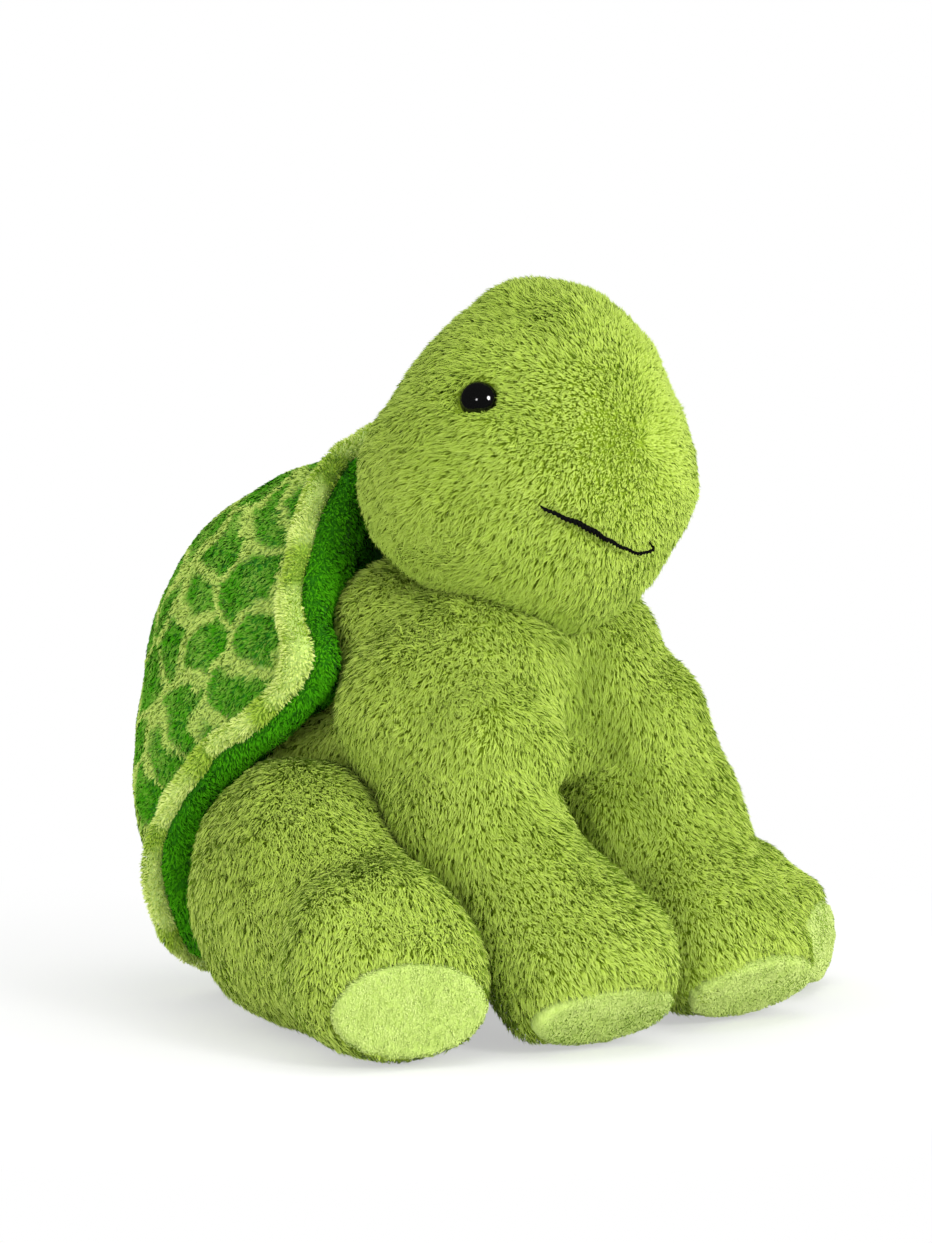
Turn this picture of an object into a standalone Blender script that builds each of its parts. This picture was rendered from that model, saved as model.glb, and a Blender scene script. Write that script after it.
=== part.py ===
"""A plush turtle that sits upright, with sewn-on legs and head and a padded shell on its back.

Metres, +Z up. The turtle faces -Y and its right side is at -X. The origin is on the floor, in the
middle of the flat seat under the torso. Each stuffed part is a cloth skin over its own filling. The
head turns and nods on the ball of filling in the neck. Each foreleg swings about its shoulder and
each hind leg spreads about its hip.
"""

import math

import bmesh
import bpy
import numpy as np
from mathutils import Matrix, Vector

# Cloth and fits
SKIN_WALL = 0.003  # pile cloth with its pile pressed flat
COVER_WALL = 0.002  # short-pile cloth of the shell
PAD_WALL = 0.0016  # short-pile cloth of the soles
FIT_GAP = 0.0003  # between pieces that stay together
TURN_GAP = 0.0009  # between stuffed parts that move on each other
FLOOR_PRESS = 0.0005  # how deep the floor flattens what stands on it

# Torso
TORSO_HEIGHT = 0.187
TORSO_HALF_WIDTH = 0.061
TORSO_HALF_DEPTH = 0.050
TORSO_LEAN = 0.021  # how far the top leans forward
TORSO_FULLNESS = 3.2  # exponent of its upper outline
SEAT_FULLNESS = 4.0  # exponent of its lower outline, which the seat flattens
# share of the height, width, depth, lean
TORSO_SHARES = (
    (0.0, 0.92, 0.94, 0.0),
    (0.25, 1.02, 1.06, 0.25),
    (0.5, 1.0, 1.0, 0.6),
    (0.75, 0.97, 0.96, 0.85),
    (1.0, 0.92, 0.92, 1.0),
)

# Head
HEAD_BOTTOM_Z = 0.162
HEAD_HEIGHT = 0.145
HEAD_HALF_WIDTH = 0.078
HEAD_HALF_DEPTH = 0.0655
HEAD_MIDDLE_Y = -0.0705
HEAD_FULLNESS = 2.0
CHIN_FORWARD = 0.015  # how far the chin lies ahead of the head's middle
# share of the height, width, depth, forward share of CHIN_FORWARD
HEAD_SHARES = (
    (0.0, 0.84, 0.84, 1.0),
    (0.1, 0.90, 0.90, 0.6),
    (0.18, 0.99, 1.0, 0.2),
    (0.27, 1.02, 1.03, -0.05),
    (0.43, 1.0, 1.01, 0.0),
    (0.55, 0.95, 0.96, 0.05),
    (0.7, 0.86, 0.88, 0.25),
    (0.85, 0.82, 0.83, 0.45),
    (1.0, 0.78, 0.78, 0.4),
)

# Neck
NECK_RADIUS = 0.038
NECK_Y = -0.056
NECK_Z = 0.186

# Forelegs
SHOULDER_X = 0.048
SHOULDER_Y = -0.080
SHOULDER_Z = 0.118
SHOULDER_RADIUS = 0.041
PAW_X = 0.047
PAW_Y = -0.135
PAW_Z = 0.0344
PAW_HALF_WIDTH = 0.040
PAW_HALF_HEIGHT = 0.0335
PAW_REACH = 0.027  # from the paw's middle to its sole
FORELEG_DROP = 0.044  # how far the leg leaves the shoulder straight down
PAW_APPROACH = 0.036  # how far it comes to the paw straight along the paw
# share of the way, of the change of half-width and of half-height from shoulder to paw
FORELEG_SHARES = (
    (0.0, 0.0, 0.0),
    (0.25, 0.15, 0.15),
    (0.5, 0.6, 0.55),
    (0.75, 0.95, 0.9),
    (1.0, 1.0, 1.0),
)
FOREPAW_SOLE_TILT_SHARE = 0.48  # of a right angle, downward
FOREPAW_PAD_HALF_WIDTH = 0.031
FOREPAW_PAD_HALF_HEIGHT = 0.017
SOLE_MARGIN_SHARE = 1.08  # size of a flat sole, of its pad's

# Hind legs
HIP_X = 0.072
HIP_Y = 0.012
HIP_Z = 0.050
THIGH_X = 0.082
THIGH_Y = -0.014
THIGH_HALF_WIDTH = 0.043
THIGH_HALF_LENGTH = 0.052
THIGH_HALF_HEIGHT = 0.056
HIND_LEG_SPLAY_SHARE = 0.29  # of a right angle, outward from straight ahead
HIND_LEG_SPREAD_SHARE = 0.16  # of a right angle, how far the leg turns outward
HIND_LEG_REACH = 0.118  # from the middle of the thigh to the sole
FOOT_HALF_WIDTH = 0.042
FOOT_HALF_HEIGHT = 0.036
ANKLE_WIDTH_SHARE = 0.80  # of the thigh's
FOOT_PAD_HALF_WIDTH = 0.0315
FOOT_PAD_HALF_HEIGHT = 0.0215
FOOT_PAD_Z = 0.027
PAD_CROWN = 0.003

# Openings through which the legs were stuffed
SHOULDER_MOUTH_RADIUS = 0.018
HIP_MOUTH_RADIUS = 0.016

# Shell
SHELL_HALF_WIDTH = 0.088
SHELL_TOP_Z = 0.250
SHELL_BOTTOM_Z = 0.011
SHELL_TOP_Y = 0.006
SHELL_BOTTOM_Y = 0.074
SHELL_MIDDLE_Y = 0.026
SHELL_CROWN_Y = 0.124
SHELL_CROWN_Z = 0.124
DOME_END_FULLNESS = 1.45  # exponent of its outline over the top and the bottom
DOME_SIDE_FULLNESS = 2.0
# round the rim from the top: share of the height, of the half-width, and of the way back
RIM_SHARES = (
    (1.0, 0.0, 0.0),
    (0.979, 0.227, -0.015),
    (0.916, 0.432, -0.03),
    (0.845, 0.59, -0.03),
    (0.766, 0.727, -0.066),
    (0.699, 0.818, -0.147),
    (0.636, 0.909, -0.294),
    (0.586, 0.966, -0.426),
    (0.51, 1.0, -0.235),
    (0.464, 1.0, 0.03),
    (0.406, 0.989, 0.353),
    (0.326, 0.955, 0.618),
    (0.255, 0.932, 0.80),
    (0.167, 0.875, 0.868),
    (0.079, 0.75, 0.897),
    (0.023, 0.523, 0.941),
    (0.0, 0.0, 1.0),
)
PIPING_RADIUS = 0.0052
FACING_WALL = 0.0015
FACING_INNER_SHARE = 0.50

# Eyes
EYE_RADIUS = 0.0083
EYE_HEIGHT = 0.0062
EYE_Z_SHARE = 0.691  # of the head's height
EYE_TURN_SHARE = 0.80  # of a right angle, from straight ahead
EYE_SEAT_DEPTH = 0.0012
SHANK_RADIUS = 0.0022
SHANK_LENGTH = 0.0095
WASHER_RADIUS = 0.0068
WASHER_WALL = 0.0013
WASHER_DEPTH = 0.0052  # of its outer face under the head's surface
POCKET_GAP = 0.0006
POCKET_DEPTH = 0.0105

# Mouth
MOUTH_TURN_SHARE = 0.47  # of a right angle, from the middle to each corner
MOUTH_MIDDLE_Z_SHARE = 0.242  # of the head's height
MOUTH_RISE_SHARE = 0.155
MOUTH_CURVE = 1.45  # exponent of its rise to each corner
MOUTH_THREAD_RADIUS = 0.0009
MOUTH_POINTS = 15

# Counts round and along the forms
HEAD_SIDES, HEAD_RINGS = 28, 14
TORSO_SIDES, TORSO_RINGS = 22, 12
LEG_SIDES = 20
LEG_STEPS = 6
INNER_SIDES, INNER_RINGS, INNER_STEPS = 14, 7, 3
BALL_SIDES, BALL_RINGS = 20, 12
SHELL_SIDES, DOME_RINGS = 48, 6
PIPING_SIDES = 8
THREAD_SIDES = 6
ROUND_SIDES = 16

RIGHT_ANGLE = math.pi / 2

LIME_PILE = (0.350, 0.510, 0.070)
PALE_PILE = (0.560, 0.730, 0.170)
FIBRE = (0.850, 0.850, 0.820)
SHELL_GREEN = (0.070, 0.270, 0.040)
PIPING_GREEN = (0.430, 0.640, 0.120)
DEEP_GREEN = (0.012, 0.190, 0.010)
GLOSS_BLACK = (0.008, 0.008, 0.008)
THREAD_BLACK = (0.012, 0.011, 0.010)
WASHER_WHITE = (0.800, 0.800, 0.780)


# Shapes of all kinds


def smooth(table, share):
    """Reads a table whose first column is a share, with a smooth curve through its rows."""
    rows = np.asarray(table, float)
    keys = rows[:, 0]
    after = int(np.clip(np.searchsorted(keys, share, side="right"), 1, len(rows) - 1))
    slopes = np.gradient(rows[:, 1:], keys, axis=0)
    width = keys[after] - keys[after - 1]
    part = (share - keys[after - 1]) / width
    square, cube = part**2, part**3
    return (
        (2 * cube - 3 * square + 1) * rows[after - 1, 1:]
        + (cube - 2 * square + part) * width * slopes[after - 1]
        + (3 * square - 2 * cube) * rows[after, 1:]
        + (cube - square) * width * slopes[after]
    )


def ring(middle, side, up, half_side, half_up, count):
    """Points round an ellipse, whose axes are given."""
    turns = np.arange(count) * 2 * math.pi / count
    across = np.outer(np.cos(turns) * half_side, side)
    along = np.outer(np.sin(turns) * half_up, up)
    return np.asarray(middle) + across + along


def temporary(name, mesh):
    piece = bpy.data.objects.new(name, mesh)
    bpy.context.scene.collection.objects.link(piece)
    return piece


def loft(name, rings, start_tip=None, end_tip=None, closed_loop=False):
    """Skins a row of rings. A tip closes an end to a point, no tip closes it flat."""
    made = bmesh.new()
    loops = [[made.verts.new(point) for point in points] for points in rings]
    pairs = list(zip(loops, loops[1:]))
    if closed_loop:
        pairs.append((loops[-1], loops[0]))
    for here, there in pairs:
        for k in range(len(here)):
            after = (k + 1) % len(here)
            made.faces.new((here[k], here[after], there[after]))
            made.faces.new((here[k], there[after], there[k]))
    if not closed_loop:
        for loop, tip in ((loops[0], start_tip), (loops[-1], end_tip)):
            if tip is None:
                made.faces.new(loop)
                continue
            point = made.verts.new(tip)
            for k in range(len(loop)):
                made.faces.new((loop[k], loop[(k + 1) % len(loop)], point))
    bmesh.ops.recalc_face_normals(made, faces=made.faces)
    if made.calc_volume(signed=True) < 0:
        bmesh.ops.reverse_faces(made, faces=made.faces)
    mesh = bpy.data.meshes.new(name)
    made.to_mesh(mesh)
    made.free()
    return temporary(name, mesh)


def swell(piece, distance):
    """Moves a form's surface out, or in where the distance is negative."""
    normals = [Vector(normal.vector) for normal in piece.data.vertex_normals]
    for vertex, normal in zip(piece.data.vertices, normals):
        vertex.co += normal * distance
    return piece


def combine(piece, other, operation, keep=False):
    """Applies one Boolean, and removes the second form unless it is kept."""
    modifier = piece.modifiers.new(operation.title(), "BOOLEAN")
    modifier.operation = operation
    modifier.solver = "EXACT"
    modifier.object = other
    bpy.context.view_layer.update()
    graph = bpy.context.evaluated_depsgraph_get()
    made = bpy.data.meshes.new_from_object(piece.evaluated_get(graph))
    piece.modifiers.clear()
    old, piece.data = piece.data, made
    bpy.data.meshes.remove(old)
    if not keep:
        discard(other)
    return piece


def cut(piece, *cutters):
    for cutter in cutters:
        combine(piece, cutter, "DIFFERENCE")
    return piece


def discard(piece):
    mesh = piece.data
    bpy.data.objects.remove(piece)
    bpy.data.meshes.remove(mesh)


def duplicate(piece):
    return temporary(piece.name, piece.data.copy())


def turned(piece, pivot, angle, axis="Z"):
    """Turns a form's mesh about an axis through the pivot."""
    place = Matrix.Translation(pivot)
    piece.data.transform(place @ Matrix.Rotation(angle, 4, axis) @ place.inverted())
    return piece


def mirrored(piece):
    """A copy of a form on the other side of the turtle."""
    twin = duplicate(piece)
    twin.data.transform(Matrix.Diagonal((-1, 1, 1, 1)))
    twin.data.flip_normals()
    return twin


def rod(start, way, radius, length, sides=ROUND_SIDES, end_radius=None):
    """A cylinder, or a cone where the end radius is given, from a point along a direction."""
    made = bmesh.new()
    last = radius if end_radius is None else end_radius
    bmesh.ops.create_cone(
        made, cap_ends=True, segments=sides, radius1=radius, radius2=last, depth=length
    )
    turn = Vector((0, 0, 1)).rotation_difference(Vector(way)).to_matrix().to_4x4()
    middle = Matrix.Translation(Vector(start) + Vector(way).normalized() * length / 2)
    bmesh.ops.transform(made, matrix=middle @ turn, verts=made.verts)
    mesh = bpy.data.meshes.new("rod")
    made.to_mesh(mesh)
    made.free()
    return temporary("rod", mesh)


def ball(middle, radius, sides=BALL_SIDES, rings=BALL_RINGS):
    made = bmesh.new()
    bmesh.ops.create_uvsphere(made, u_segments=sides, v_segments=rings, radius=radius)
    bmesh.ops.translate(made, vec=Vector(middle), verts=made.verts)
    mesh = bpy.data.meshes.new("ball")
    made.to_mesh(mesh)
    made.free()
    return temporary("ball", mesh)


def below_floor():
    """The space under the floor, wide enough for the whole turtle."""
    reach = HIND_LEG_REACH + SHELL_HALF_WIDTH + SHELL_CROWN_Y
    made = bmesh.new()
    bmesh.ops.create_cube(made, size=1)
    size = Vector((2 * reach, 2 * reach, SHOULDER_Z))
    bmesh.ops.scale(made, vec=size, verts=made.verts)
    bmesh.ops.translate(made, vec=Vector((0, 0, -SHOULDER_Z / 2)), verts=made.verts)
    mesh = bpy.data.meshes.new("floor")
    made.to_mesh(mesh)
    made.free()
    return temporary("floor", mesh)


# Stuffed forms


def upright_form(name, bottom, height, section, fullnesses, sides, rings):
    """A form stacked from level ellipses. section gives their middle and half sizes at a share.

    fullnesses are the exponents of the lower and the upper half of its outline.
    """
    stack, tips = [], []
    for k in range(rings + 1):
        share = (1 - math.cos(math.pi * k / rings)) / 2
        fullness = fullnesses[0] if share < 0.5 else fullnesses[1]
        middle_y, half_width, half_depth = section(share)
        level = bottom + share * height
        if k in (0, rings):
            tips.append((0, middle_y, level))
            continue
        swelling = (1 - abs(2 * share - 1) ** fullness) ** (1 / fullness)
        widths = half_width * swelling, half_depth * swelling
        stack.append(ring((0, middle_y, level), (1, 0, 0), (0, 1, 0), *widths, sides))
    return loft(name, stack, *tips)


def head_section(share):
    width, depth, forward = smooth(HEAD_SHARES, share)
    middle = HEAD_MIDDLE_Y - CHIN_FORWARD * forward
    return middle, HEAD_HALF_WIDTH * width, HEAD_HALF_DEPTH * depth


def head_form(grow=0, sides=HEAD_SIDES, rings=HEAD_RINGS):
    fullnesses = HEAD_FULLNESS, HEAD_FULLNESS
    form = upright_form(
        "head", HEAD_BOTTOM_Z, HEAD_HEIGHT, head_section, fullnesses, sides, rings
    )
    return swell(form, grow)


def torso_section(share):
    width, depth, lean = smooth(TORSO_SHARES, share)
    middle = -TORSO_LEAN * lean
    return middle, TORSO_HALF_WIDTH * width, TORSO_HALF_DEPTH * depth


def torso_form(grow=0, sides=TORSO_SIDES, rings=TORSO_RINGS):
    bottom, height = -FLOOR_PRESS, TORSO_HEIGHT + FLOOR_PRESS
    fullnesses = SEAT_FULLNESS, TORSO_FULLNESS
    form = upright_form("torso", bottom, height, torso_section, fullnesses, sides, rings)
    return swell(form, grow)


def shoulder():
    return Vector((-SHOULDER_X, SHOULDER_Y, SHOULDER_Z))


def paw_way():
    """The direction in which the forepaw points, square to its sole."""
    tilt = RIGHT_ANGLE * FOREPAW_SOLE_TILT_SHARE
    return Vector((0, -math.cos(tilt), -math.sin(tilt)))


def foreleg_line(share):
    """A point on the foreleg's middle line and the direction in which it runs."""
    start, end = shoulder(), Vector((-PAW_X, PAW_Y, PAW_Z))
    points = start, start - Vector((0, 0, FORELEG_DROP)), end - paw_way() * PAW_APPROACH, end
    while len(points) > 1:
        last = points
        points = [a.lerp(b, share) for a, b in zip(points, points[1:])]
    return points[0], (last[1] - last[0]).normalized()


def foreleg_form(grow=0, sides=LEG_SIDES, steps=LEG_STEPS):
    """The right foreleg: a round shoulder, a bent leg and a round paw with a flat sole."""
    side = Vector((1, 0, 0))
    rings = []
    for k in range(1, steps):
        angle = RIGHT_ANGLE * k / steps
        level = shoulder() + Vector((0, 0, SHOULDER_RADIUS * math.cos(angle)))
        size = SHOULDER_RADIUS * math.sin(angle)
        rings.append(ring(level, side, (0, -1, 0), size, size, sides))
    for k in range(2 * steps + 1):
        share = k / (2 * steps)
        wide, high = smooth(FORELEG_SHARES, share)
        middle, way = foreleg_line(share)
        width = SHOULDER_RADIUS + (PAW_HALF_WIDTH - SHOULDER_RADIUS) * wide
        height = SHOULDER_RADIUS + (PAW_HALF_HEIGHT - SHOULDER_RADIUS) * high
        rings.append(ring(middle, side, way.cross(side), width, height, sides))
    sole_width = FOREPAW_PAD_HALF_WIDTH * SOLE_MARGIN_SHARE
    sole_height = FOREPAW_PAD_HALF_HEIGHT * SOLE_MARGIN_SHARE
    for k in range(1, steps + 1):
        angle = RIGHT_ANGLE * k / steps
        size = math.cos(angle)
        width = sole_width + (PAW_HALF_WIDTH - sole_width) * size
        height = sole_height + (PAW_HALF_HEIGHT - sole_height) * size
        level = middle + paw_way() * PAW_REACH * math.sin(angle)
        rings.append(ring(level, side, paw_way().cross(side), width, height, sides))
    top = shoulder() + Vector((0, 0, SHOULDER_RADIUS))
    return swell(loft("foreleg", rings, top, None), grow)


def hind_leg_way():
    angle = RIGHT_ANGLE * HIND_LEG_SPLAY_SHARE
    return Vector((-math.sin(angle), -math.cos(angle), 0))


def hip():
    return Vector((-HIP_X, HIP_Y, HIP_Z))


def hind_leg_form(grow=0, sides=LEG_SIDES, steps=LEG_STEPS):
    """The right hind leg: a thick thigh, an ankle and a broad foot with a flat sole."""
    way = hind_leg_way()
    side = way.cross(Vector((0, 0, 1)))
    thigh = Vector((-THIGH_X, THIGH_Y, 0))
    foot_share = 1 - FOOT_HALF_HEIGHT / HIND_LEG_REACH / 2
    sole_width = FOOT_PAD_HALF_WIDTH * SOLE_MARGIN_SHARE
    sole_height = FOOT_PAD_HALF_HEIGHT * SOLE_MARGIN_SHARE
    table = (
        (-THIGH_HALF_LENGTH / HIND_LEG_REACH, 0.35, 0.35),
        (0.0, 1.0, 1.0),
        (0.30, 0.95, 0.93),
        (0.55, ANKLE_WIDTH_SHARE, 0.76),
        (foot_share, FOOT_HALF_WIDTH / THIGH_HALF_WIDTH, FOOT_HALF_HEIGHT / THIGH_HALF_HEIGHT),
        (1.0, sole_width / THIGH_HALF_WIDTH, sole_height / THIGH_HALF_HEIGHT),
    )
    rings = []
    for k in range(1, steps):
        angle = RIGHT_ANGLE * k / steps
        size = math.sin(angle)
        middle = thigh - way * THIGH_HALF_LENGTH * math.cos(angle)
        middle.z = THIGH_HALF_HEIGHT - FLOOR_PRESS
        widths = THIGH_HALF_WIDTH * size, THIGH_HALF_HEIGHT * size
        rings.append(ring(middle, side, (0, 0, 1), *widths, sides))
    for k in range(2 * steps + 1):
        share = k / (2 * steps)
        wide, high = smooth(table, share)
        height = THIGH_HALF_HEIGHT * high
        middle = thigh + way * HIND_LEG_REACH * share
        middle.z = height - FLOOR_PRESS
        if share > foot_share:
            middle.z = max(middle.z, FOOT_PAD_Z)
        rings.append(ring(middle, side, (0, 0, 1), THIGH_HALF_WIDTH * wide, height, sides))
    tip = thigh - way * THIGH_HALF_LENGTH
    tip.z = THIGH_HALF_HEIGHT - FLOOR_PRESS
    return swell(loft("hind_leg", rings, tip, None), grow)


def hind_leg_body(inset, sides, steps):
    """The hind leg, cut to fit the foreleg and the torso, at rest and with the leg spread."""
    form = hind_leg_form(-inset, sides, steps)
    spread = torso_form(TURN_GAP + inset)
    turned(spread, hip(), RIGHT_ANGLE * HIND_LEG_SPREAD_SHARE)
    near = torso_form(TURN_GAP + inset)
    foreleg = foreleg_form(TURN_GAP + inset)
    return cut(form, near, spread, foreleg)


# Forms of the shell


def rim_point(turn):
    """A point on the middle line of the piping. turn is 0 at the top and 1 after a whole round."""
    half = turn * 2 if turn <= 0.5 else 2 - turn * 2
    table = [(k / (len(RIM_SHARES) - 1), *row) for k, row in enumerate(RIM_SHARES)]
    level, width, back = smooth(table, half)
    side = -1 if turn <= 0.5 else 1
    return Vector(
        (
            side * SHELL_HALF_WIDTH * width,
            SHELL_TOP_Y + (SHELL_BOTTOM_Y - SHELL_TOP_Y) * back,
            SHELL_BOTTOM_Z + (SHELL_TOP_Z - SHELL_BOTTOM_Z) * level,
        )
    )


def shell_middle():
    return Vector((0, SHELL_MIDDLE_Y, (SHELL_TOP_Z + SHELL_BOTTOM_Z) / 2))


def rim_way(turn):
    """The direction in which the rim runs at a point of it."""
    step = 1 / SHELL_SIDES
    return (rim_point((turn + step) % 1) - rim_point((turn - step) % 1)).normalized()


def rim_ring(inset, share=1.0, back=0.0):
    """The rim drawn in by an inset and a share of its size, and moved back."""
    middle = shell_middle()
    points = []
    for k in range(SHELL_SIDES):
        turn = k / SHELL_SIDES
        out = rim_point(turn) - middle
        way = rim_way(turn)
        across = (out - way * out.dot(way)).length
        drawn = out * (1 - inset / across) * share
        points.append(middle + drawn + Vector((0, back, 0)))
    return points


def dome_rings(inset, rings):
    """Rings of a dome from the rim to just under its crown, and the crown itself."""
    crown = Vector((0, SHELL_CROWN_Y - inset, SHELL_CROWN_Z))
    middle_z = shell_middle().z
    stack = []
    for k in range(rings):
        angle = RIGHT_ANGLE * k / rings
        points = []
        for base in rim_ring(inset):
            side = abs(base.x) / SHELL_HALF_WIDTH
            fullness = DOME_END_FULLNESS + (DOME_SIDE_FULLNESS - DOME_END_FULLNESS) * side
            level = math.cos(angle) ** (2 / fullness)
            rise = math.sin(angle) ** (2 / fullness)
            y = base.y + (crown.y - base.y) * rise
            z = middle_z + (base.z - middle_z) * level + (crown.z - middle_z) * rise
            points.append(Vector((base.x * level, y, z)))
        stack.append(points)
    return stack, crown


def facing_rings(inset, back, shares):
    """Rings over the front of the shell, from the rim inward."""
    return [rim_ring(inset, share, back) for share in shares]


def shell_edge():
    return PIPING_RADIUS + FIT_GAP


def shell_cover():
    outer, crown = dome_rings(shell_edge(), DOME_RINGS)
    inner, under = dome_rings(shell_edge() + COVER_WALL, DOME_RINGS)
    return loft("shell_cover", outer[::-1] + inner, crown, under)


def shell_padding():
    inset = shell_edge() + COVER_WALL + FIT_GAP
    dome, crown = dome_rings(inset, DOME_RINGS)
    front = facing_rings(inset, 0, (1.0, 0.8, 0.6, 0.35))
    return loft("shell_padding", front[::-1] + dome[1:], shell_middle(), crown)


def shell_facing():
    shares = (1.0, 0.85, 0.7, FACING_INNER_SHARE)
    front = facing_rings(shell_edge(), -FIT_GAP - FACING_WALL, shares)
    behind = facing_rings(shell_edge(), -FIT_GAP, shares)
    return loft("shell_facing", front + behind[::-1], closed_loop=True)


def shell_piping():
    rings = []
    for k in range(SHELL_SIDES):
        turn = k / SHELL_SIDES
        ahead = rim_way(turn)
        side = ahead.cross(rim_point(turn) - shell_middle()).normalized()
        up = side.cross(ahead).normalized()
        radius = PIPING_RADIUS
        rings.append(ring(rim_point(turn), side, up, radius, radius, PIPING_SIDES))
    return loft("shell_piping", rings, closed_loop=True)


# Small pieces


def head_point(share, turn):
    """A point on the head's right side and the way out there. turn is 0 straight ahead."""
    step = 1 / HEAD_SIDES / HEAD_RINGS

    def point(at, angle):
        middle_y, half_width, half_depth = head_section(at)
        swelling = (1 - abs(2 * at - 1) ** HEAD_FULLNESS) ** (1 / HEAD_FULLNESS)
        x = -half_width * swelling * math.sin(angle)
        y = middle_y - half_depth * swelling * math.cos(angle)
        return Vector((x, y, HEAD_BOTTOM_Z + at * HEAD_HEIGHT))

    here = point(share, turn)
    across = point(share, turn + step) - here
    along = point(share + step, turn) - here
    out = across.cross(along).normalized()
    if out.dot(here - Vector((0, HEAD_MIDDLE_Y, here.z))) < 0:
        out = -out
    return here, out


def eye_place():
    return head_point(EYE_Z_SHARE, RIGHT_ANGLE * EYE_TURN_SHARE)


def eye():
    """A domed plastic eye with its shank."""
    surface, out = eye_place()
    seat = surface - out * (EYE_SEAT_DEPTH - FIT_GAP)
    turn = Vector((0, 0, 1)).rotation_difference(out)
    side, up = turn @ Vector((1, 0, 0)), turn @ Vector((0, 1, 0))
    shank_end = seat - out * SHANK_LENGTH
    rings = [
        ring(shank_end, side, up, SHANK_RADIUS, SHANK_RADIUS, ROUND_SIDES),
        ring(seat, side, up, SHANK_RADIUS, SHANK_RADIUS, ROUND_SIDES),
    ]
    steps = 5
    for k in range(steps):
        angle = RIGHT_ANGLE * k / steps
        level = seat + out * EYE_HEIGHT * math.sin(angle)
        size = EYE_RADIUS * math.cos(angle)
        rings.append(ring(level, side, up, size, size, ROUND_SIDES))
    return loft("eye", rings, None, seat + out * EYE_HEIGHT)


def eye_washer():
    surface, out = eye_place()
    start = surface - out * WASHER_DEPTH
    washer = rod(start, -out, WASHER_RADIUS, WASHER_WALL)
    hole = rod(surface, -out, SHANK_RADIUS + FIT_GAP, WASHER_DEPTH + 2 * WASHER_WALL)
    return cut(washer, hole)


def eye_seat_cutters():
    """What the eye takes from the head's skin: a flat seat, and a hole for the shank."""
    surface, out = eye_place()
    above = surface + out * EYE_HEIGHT
    seat = rod(above, -out, EYE_RADIUS + FIT_GAP, EYE_HEIGHT + EYE_SEAT_DEPTH)
    hole = rod(above, -out, SHANK_RADIUS + FIT_GAP, EYE_HEIGHT + POCKET_DEPTH)
    return seat, hole


def eye_pocket():
    surface, out = eye_place()
    above = surface + out * EYE_HEIGHT
    return rod(above, -out, WASHER_RADIUS + POCKET_GAP, EYE_HEIGHT + POCKET_DEPTH)


def mouth():
    """The stitched line, lying on the head's surface and rising to each corner."""
    rings = []
    lift = MOUTH_THREAD_RADIUS + FIT_GAP
    places = []
    for k in range(MOUTH_POINTS):
        part = 2 * k / (MOUTH_POINTS - 1) - 1
        share = MOUTH_MIDDLE_Z_SHARE + MOUTH_RISE_SHARE * abs(part) ** MOUTH_CURVE
        surface, out = head_point(share, RIGHT_ANGLE * MOUTH_TURN_SHARE * part)
        places.append((surface + out * lift, out))
    for k, (middle, out) in enumerate(places):
        ahead = places[min(k + 1, len(places) - 1)][0] - places[max(k - 1, 0)][0]
        side = ahead.cross(out).normalized()
        up = side.cross(ahead).normalized()
        radius = MOUTH_THREAD_RADIUS
        rings.append(ring(middle, side, up, radius, radius, THREAD_SIDES))
    return loft("mouth", rings)


def pad(form_end, out, side, up, half_width, half_height):
    """A padded sole on the flat end of a leg, crowned in the middle."""
    rings = []
    steps = 3
    base = form_end + out * FIT_GAP
    rings.append(ring(base, side, up, half_width, half_height, LEG_SIDES))
    for k in range(steps):
        angle = RIGHT_ANGLE * k / steps
        level = base + out * (PAD_WALL + (PAD_CROWN - PAD_WALL) * math.sin(angle))
        size = math.cos(angle * FOREPAW_SOLE_TILT_SHARE) if k == 0 else math.cos(angle)
        rings.append(ring(level, side, up, half_width * size, half_height * size, LEG_SIDES))
    return loft("pad", rings, None, base + out * PAD_CROWN)


def foot_pad():
    way = hind_leg_way()
    end = Vector((-THIGH_X, THIGH_Y, 0)) + way * HIND_LEG_REACH
    end.z = max(FOOT_PAD_Z, FOOT_PAD_HALF_HEIGHT - FLOOR_PRESS)
    side = way.cross(Vector((0, 0, 1)))
    width, height = FOOT_PAD_HALF_WIDTH, FOOT_PAD_HALF_HEIGHT
    return pad(end, way, side, Vector((0, 0, 1)), width, height)


def forepaw_pad():
    side, out = Vector((1, 0, 0)), paw_way()
    end = Vector((-PAW_X, PAW_Y, PAW_Z)) + out * PAW_REACH
    width, height = FOREPAW_PAD_HALF_WIDTH, FOREPAW_PAD_HALF_HEIGHT
    return pad(end, out, side, out.cross(side), width, height)


# The turtle


def material(name, colour, roughness, metallic=0.0):
    made = bpy.data.materials.new(name)
    made.use_nodes = True
    shader = made.node_tree.nodes["Principled BSDF"]
    shader.inputs["Base Color"].default_value = (*colour, 1)
    shader.inputs["Roughness"].default_value = roughness
    shader.inputs["Metallic"].default_value = metallic
    made.diffuse_color = (*colour, 1)
    return made


def joint(name, place, parent=None):
    """An empty on a joint's axis, which carries the pieces that move there."""
    empty = bpy.data.objects.new(name, None)
    bpy.context.scene.collection.objects.link(empty)
    empty.location = Vector(place) - (parent.matrix_world.translation if parent else Vector())
    empty.parent = parent
    bpy.context.view_layer.update()
    return empty


def finish(piece, name, carrier, surface):
    """Names a piece, and hangs it from its joint with the joint as its origin."""
    piece.name = name
    piece.data.name = name
    piece.data.transform(Matrix.Translation(-carrier.matrix_world.translation))
    piece.parent = carrier
    piece.data.materials.clear()
    piece.data.materials.append(surface)
    piece.data.shade_smooth()
    piece.data.set_sharp_from_angle(angle=math.radians(40))
    return piece


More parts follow.
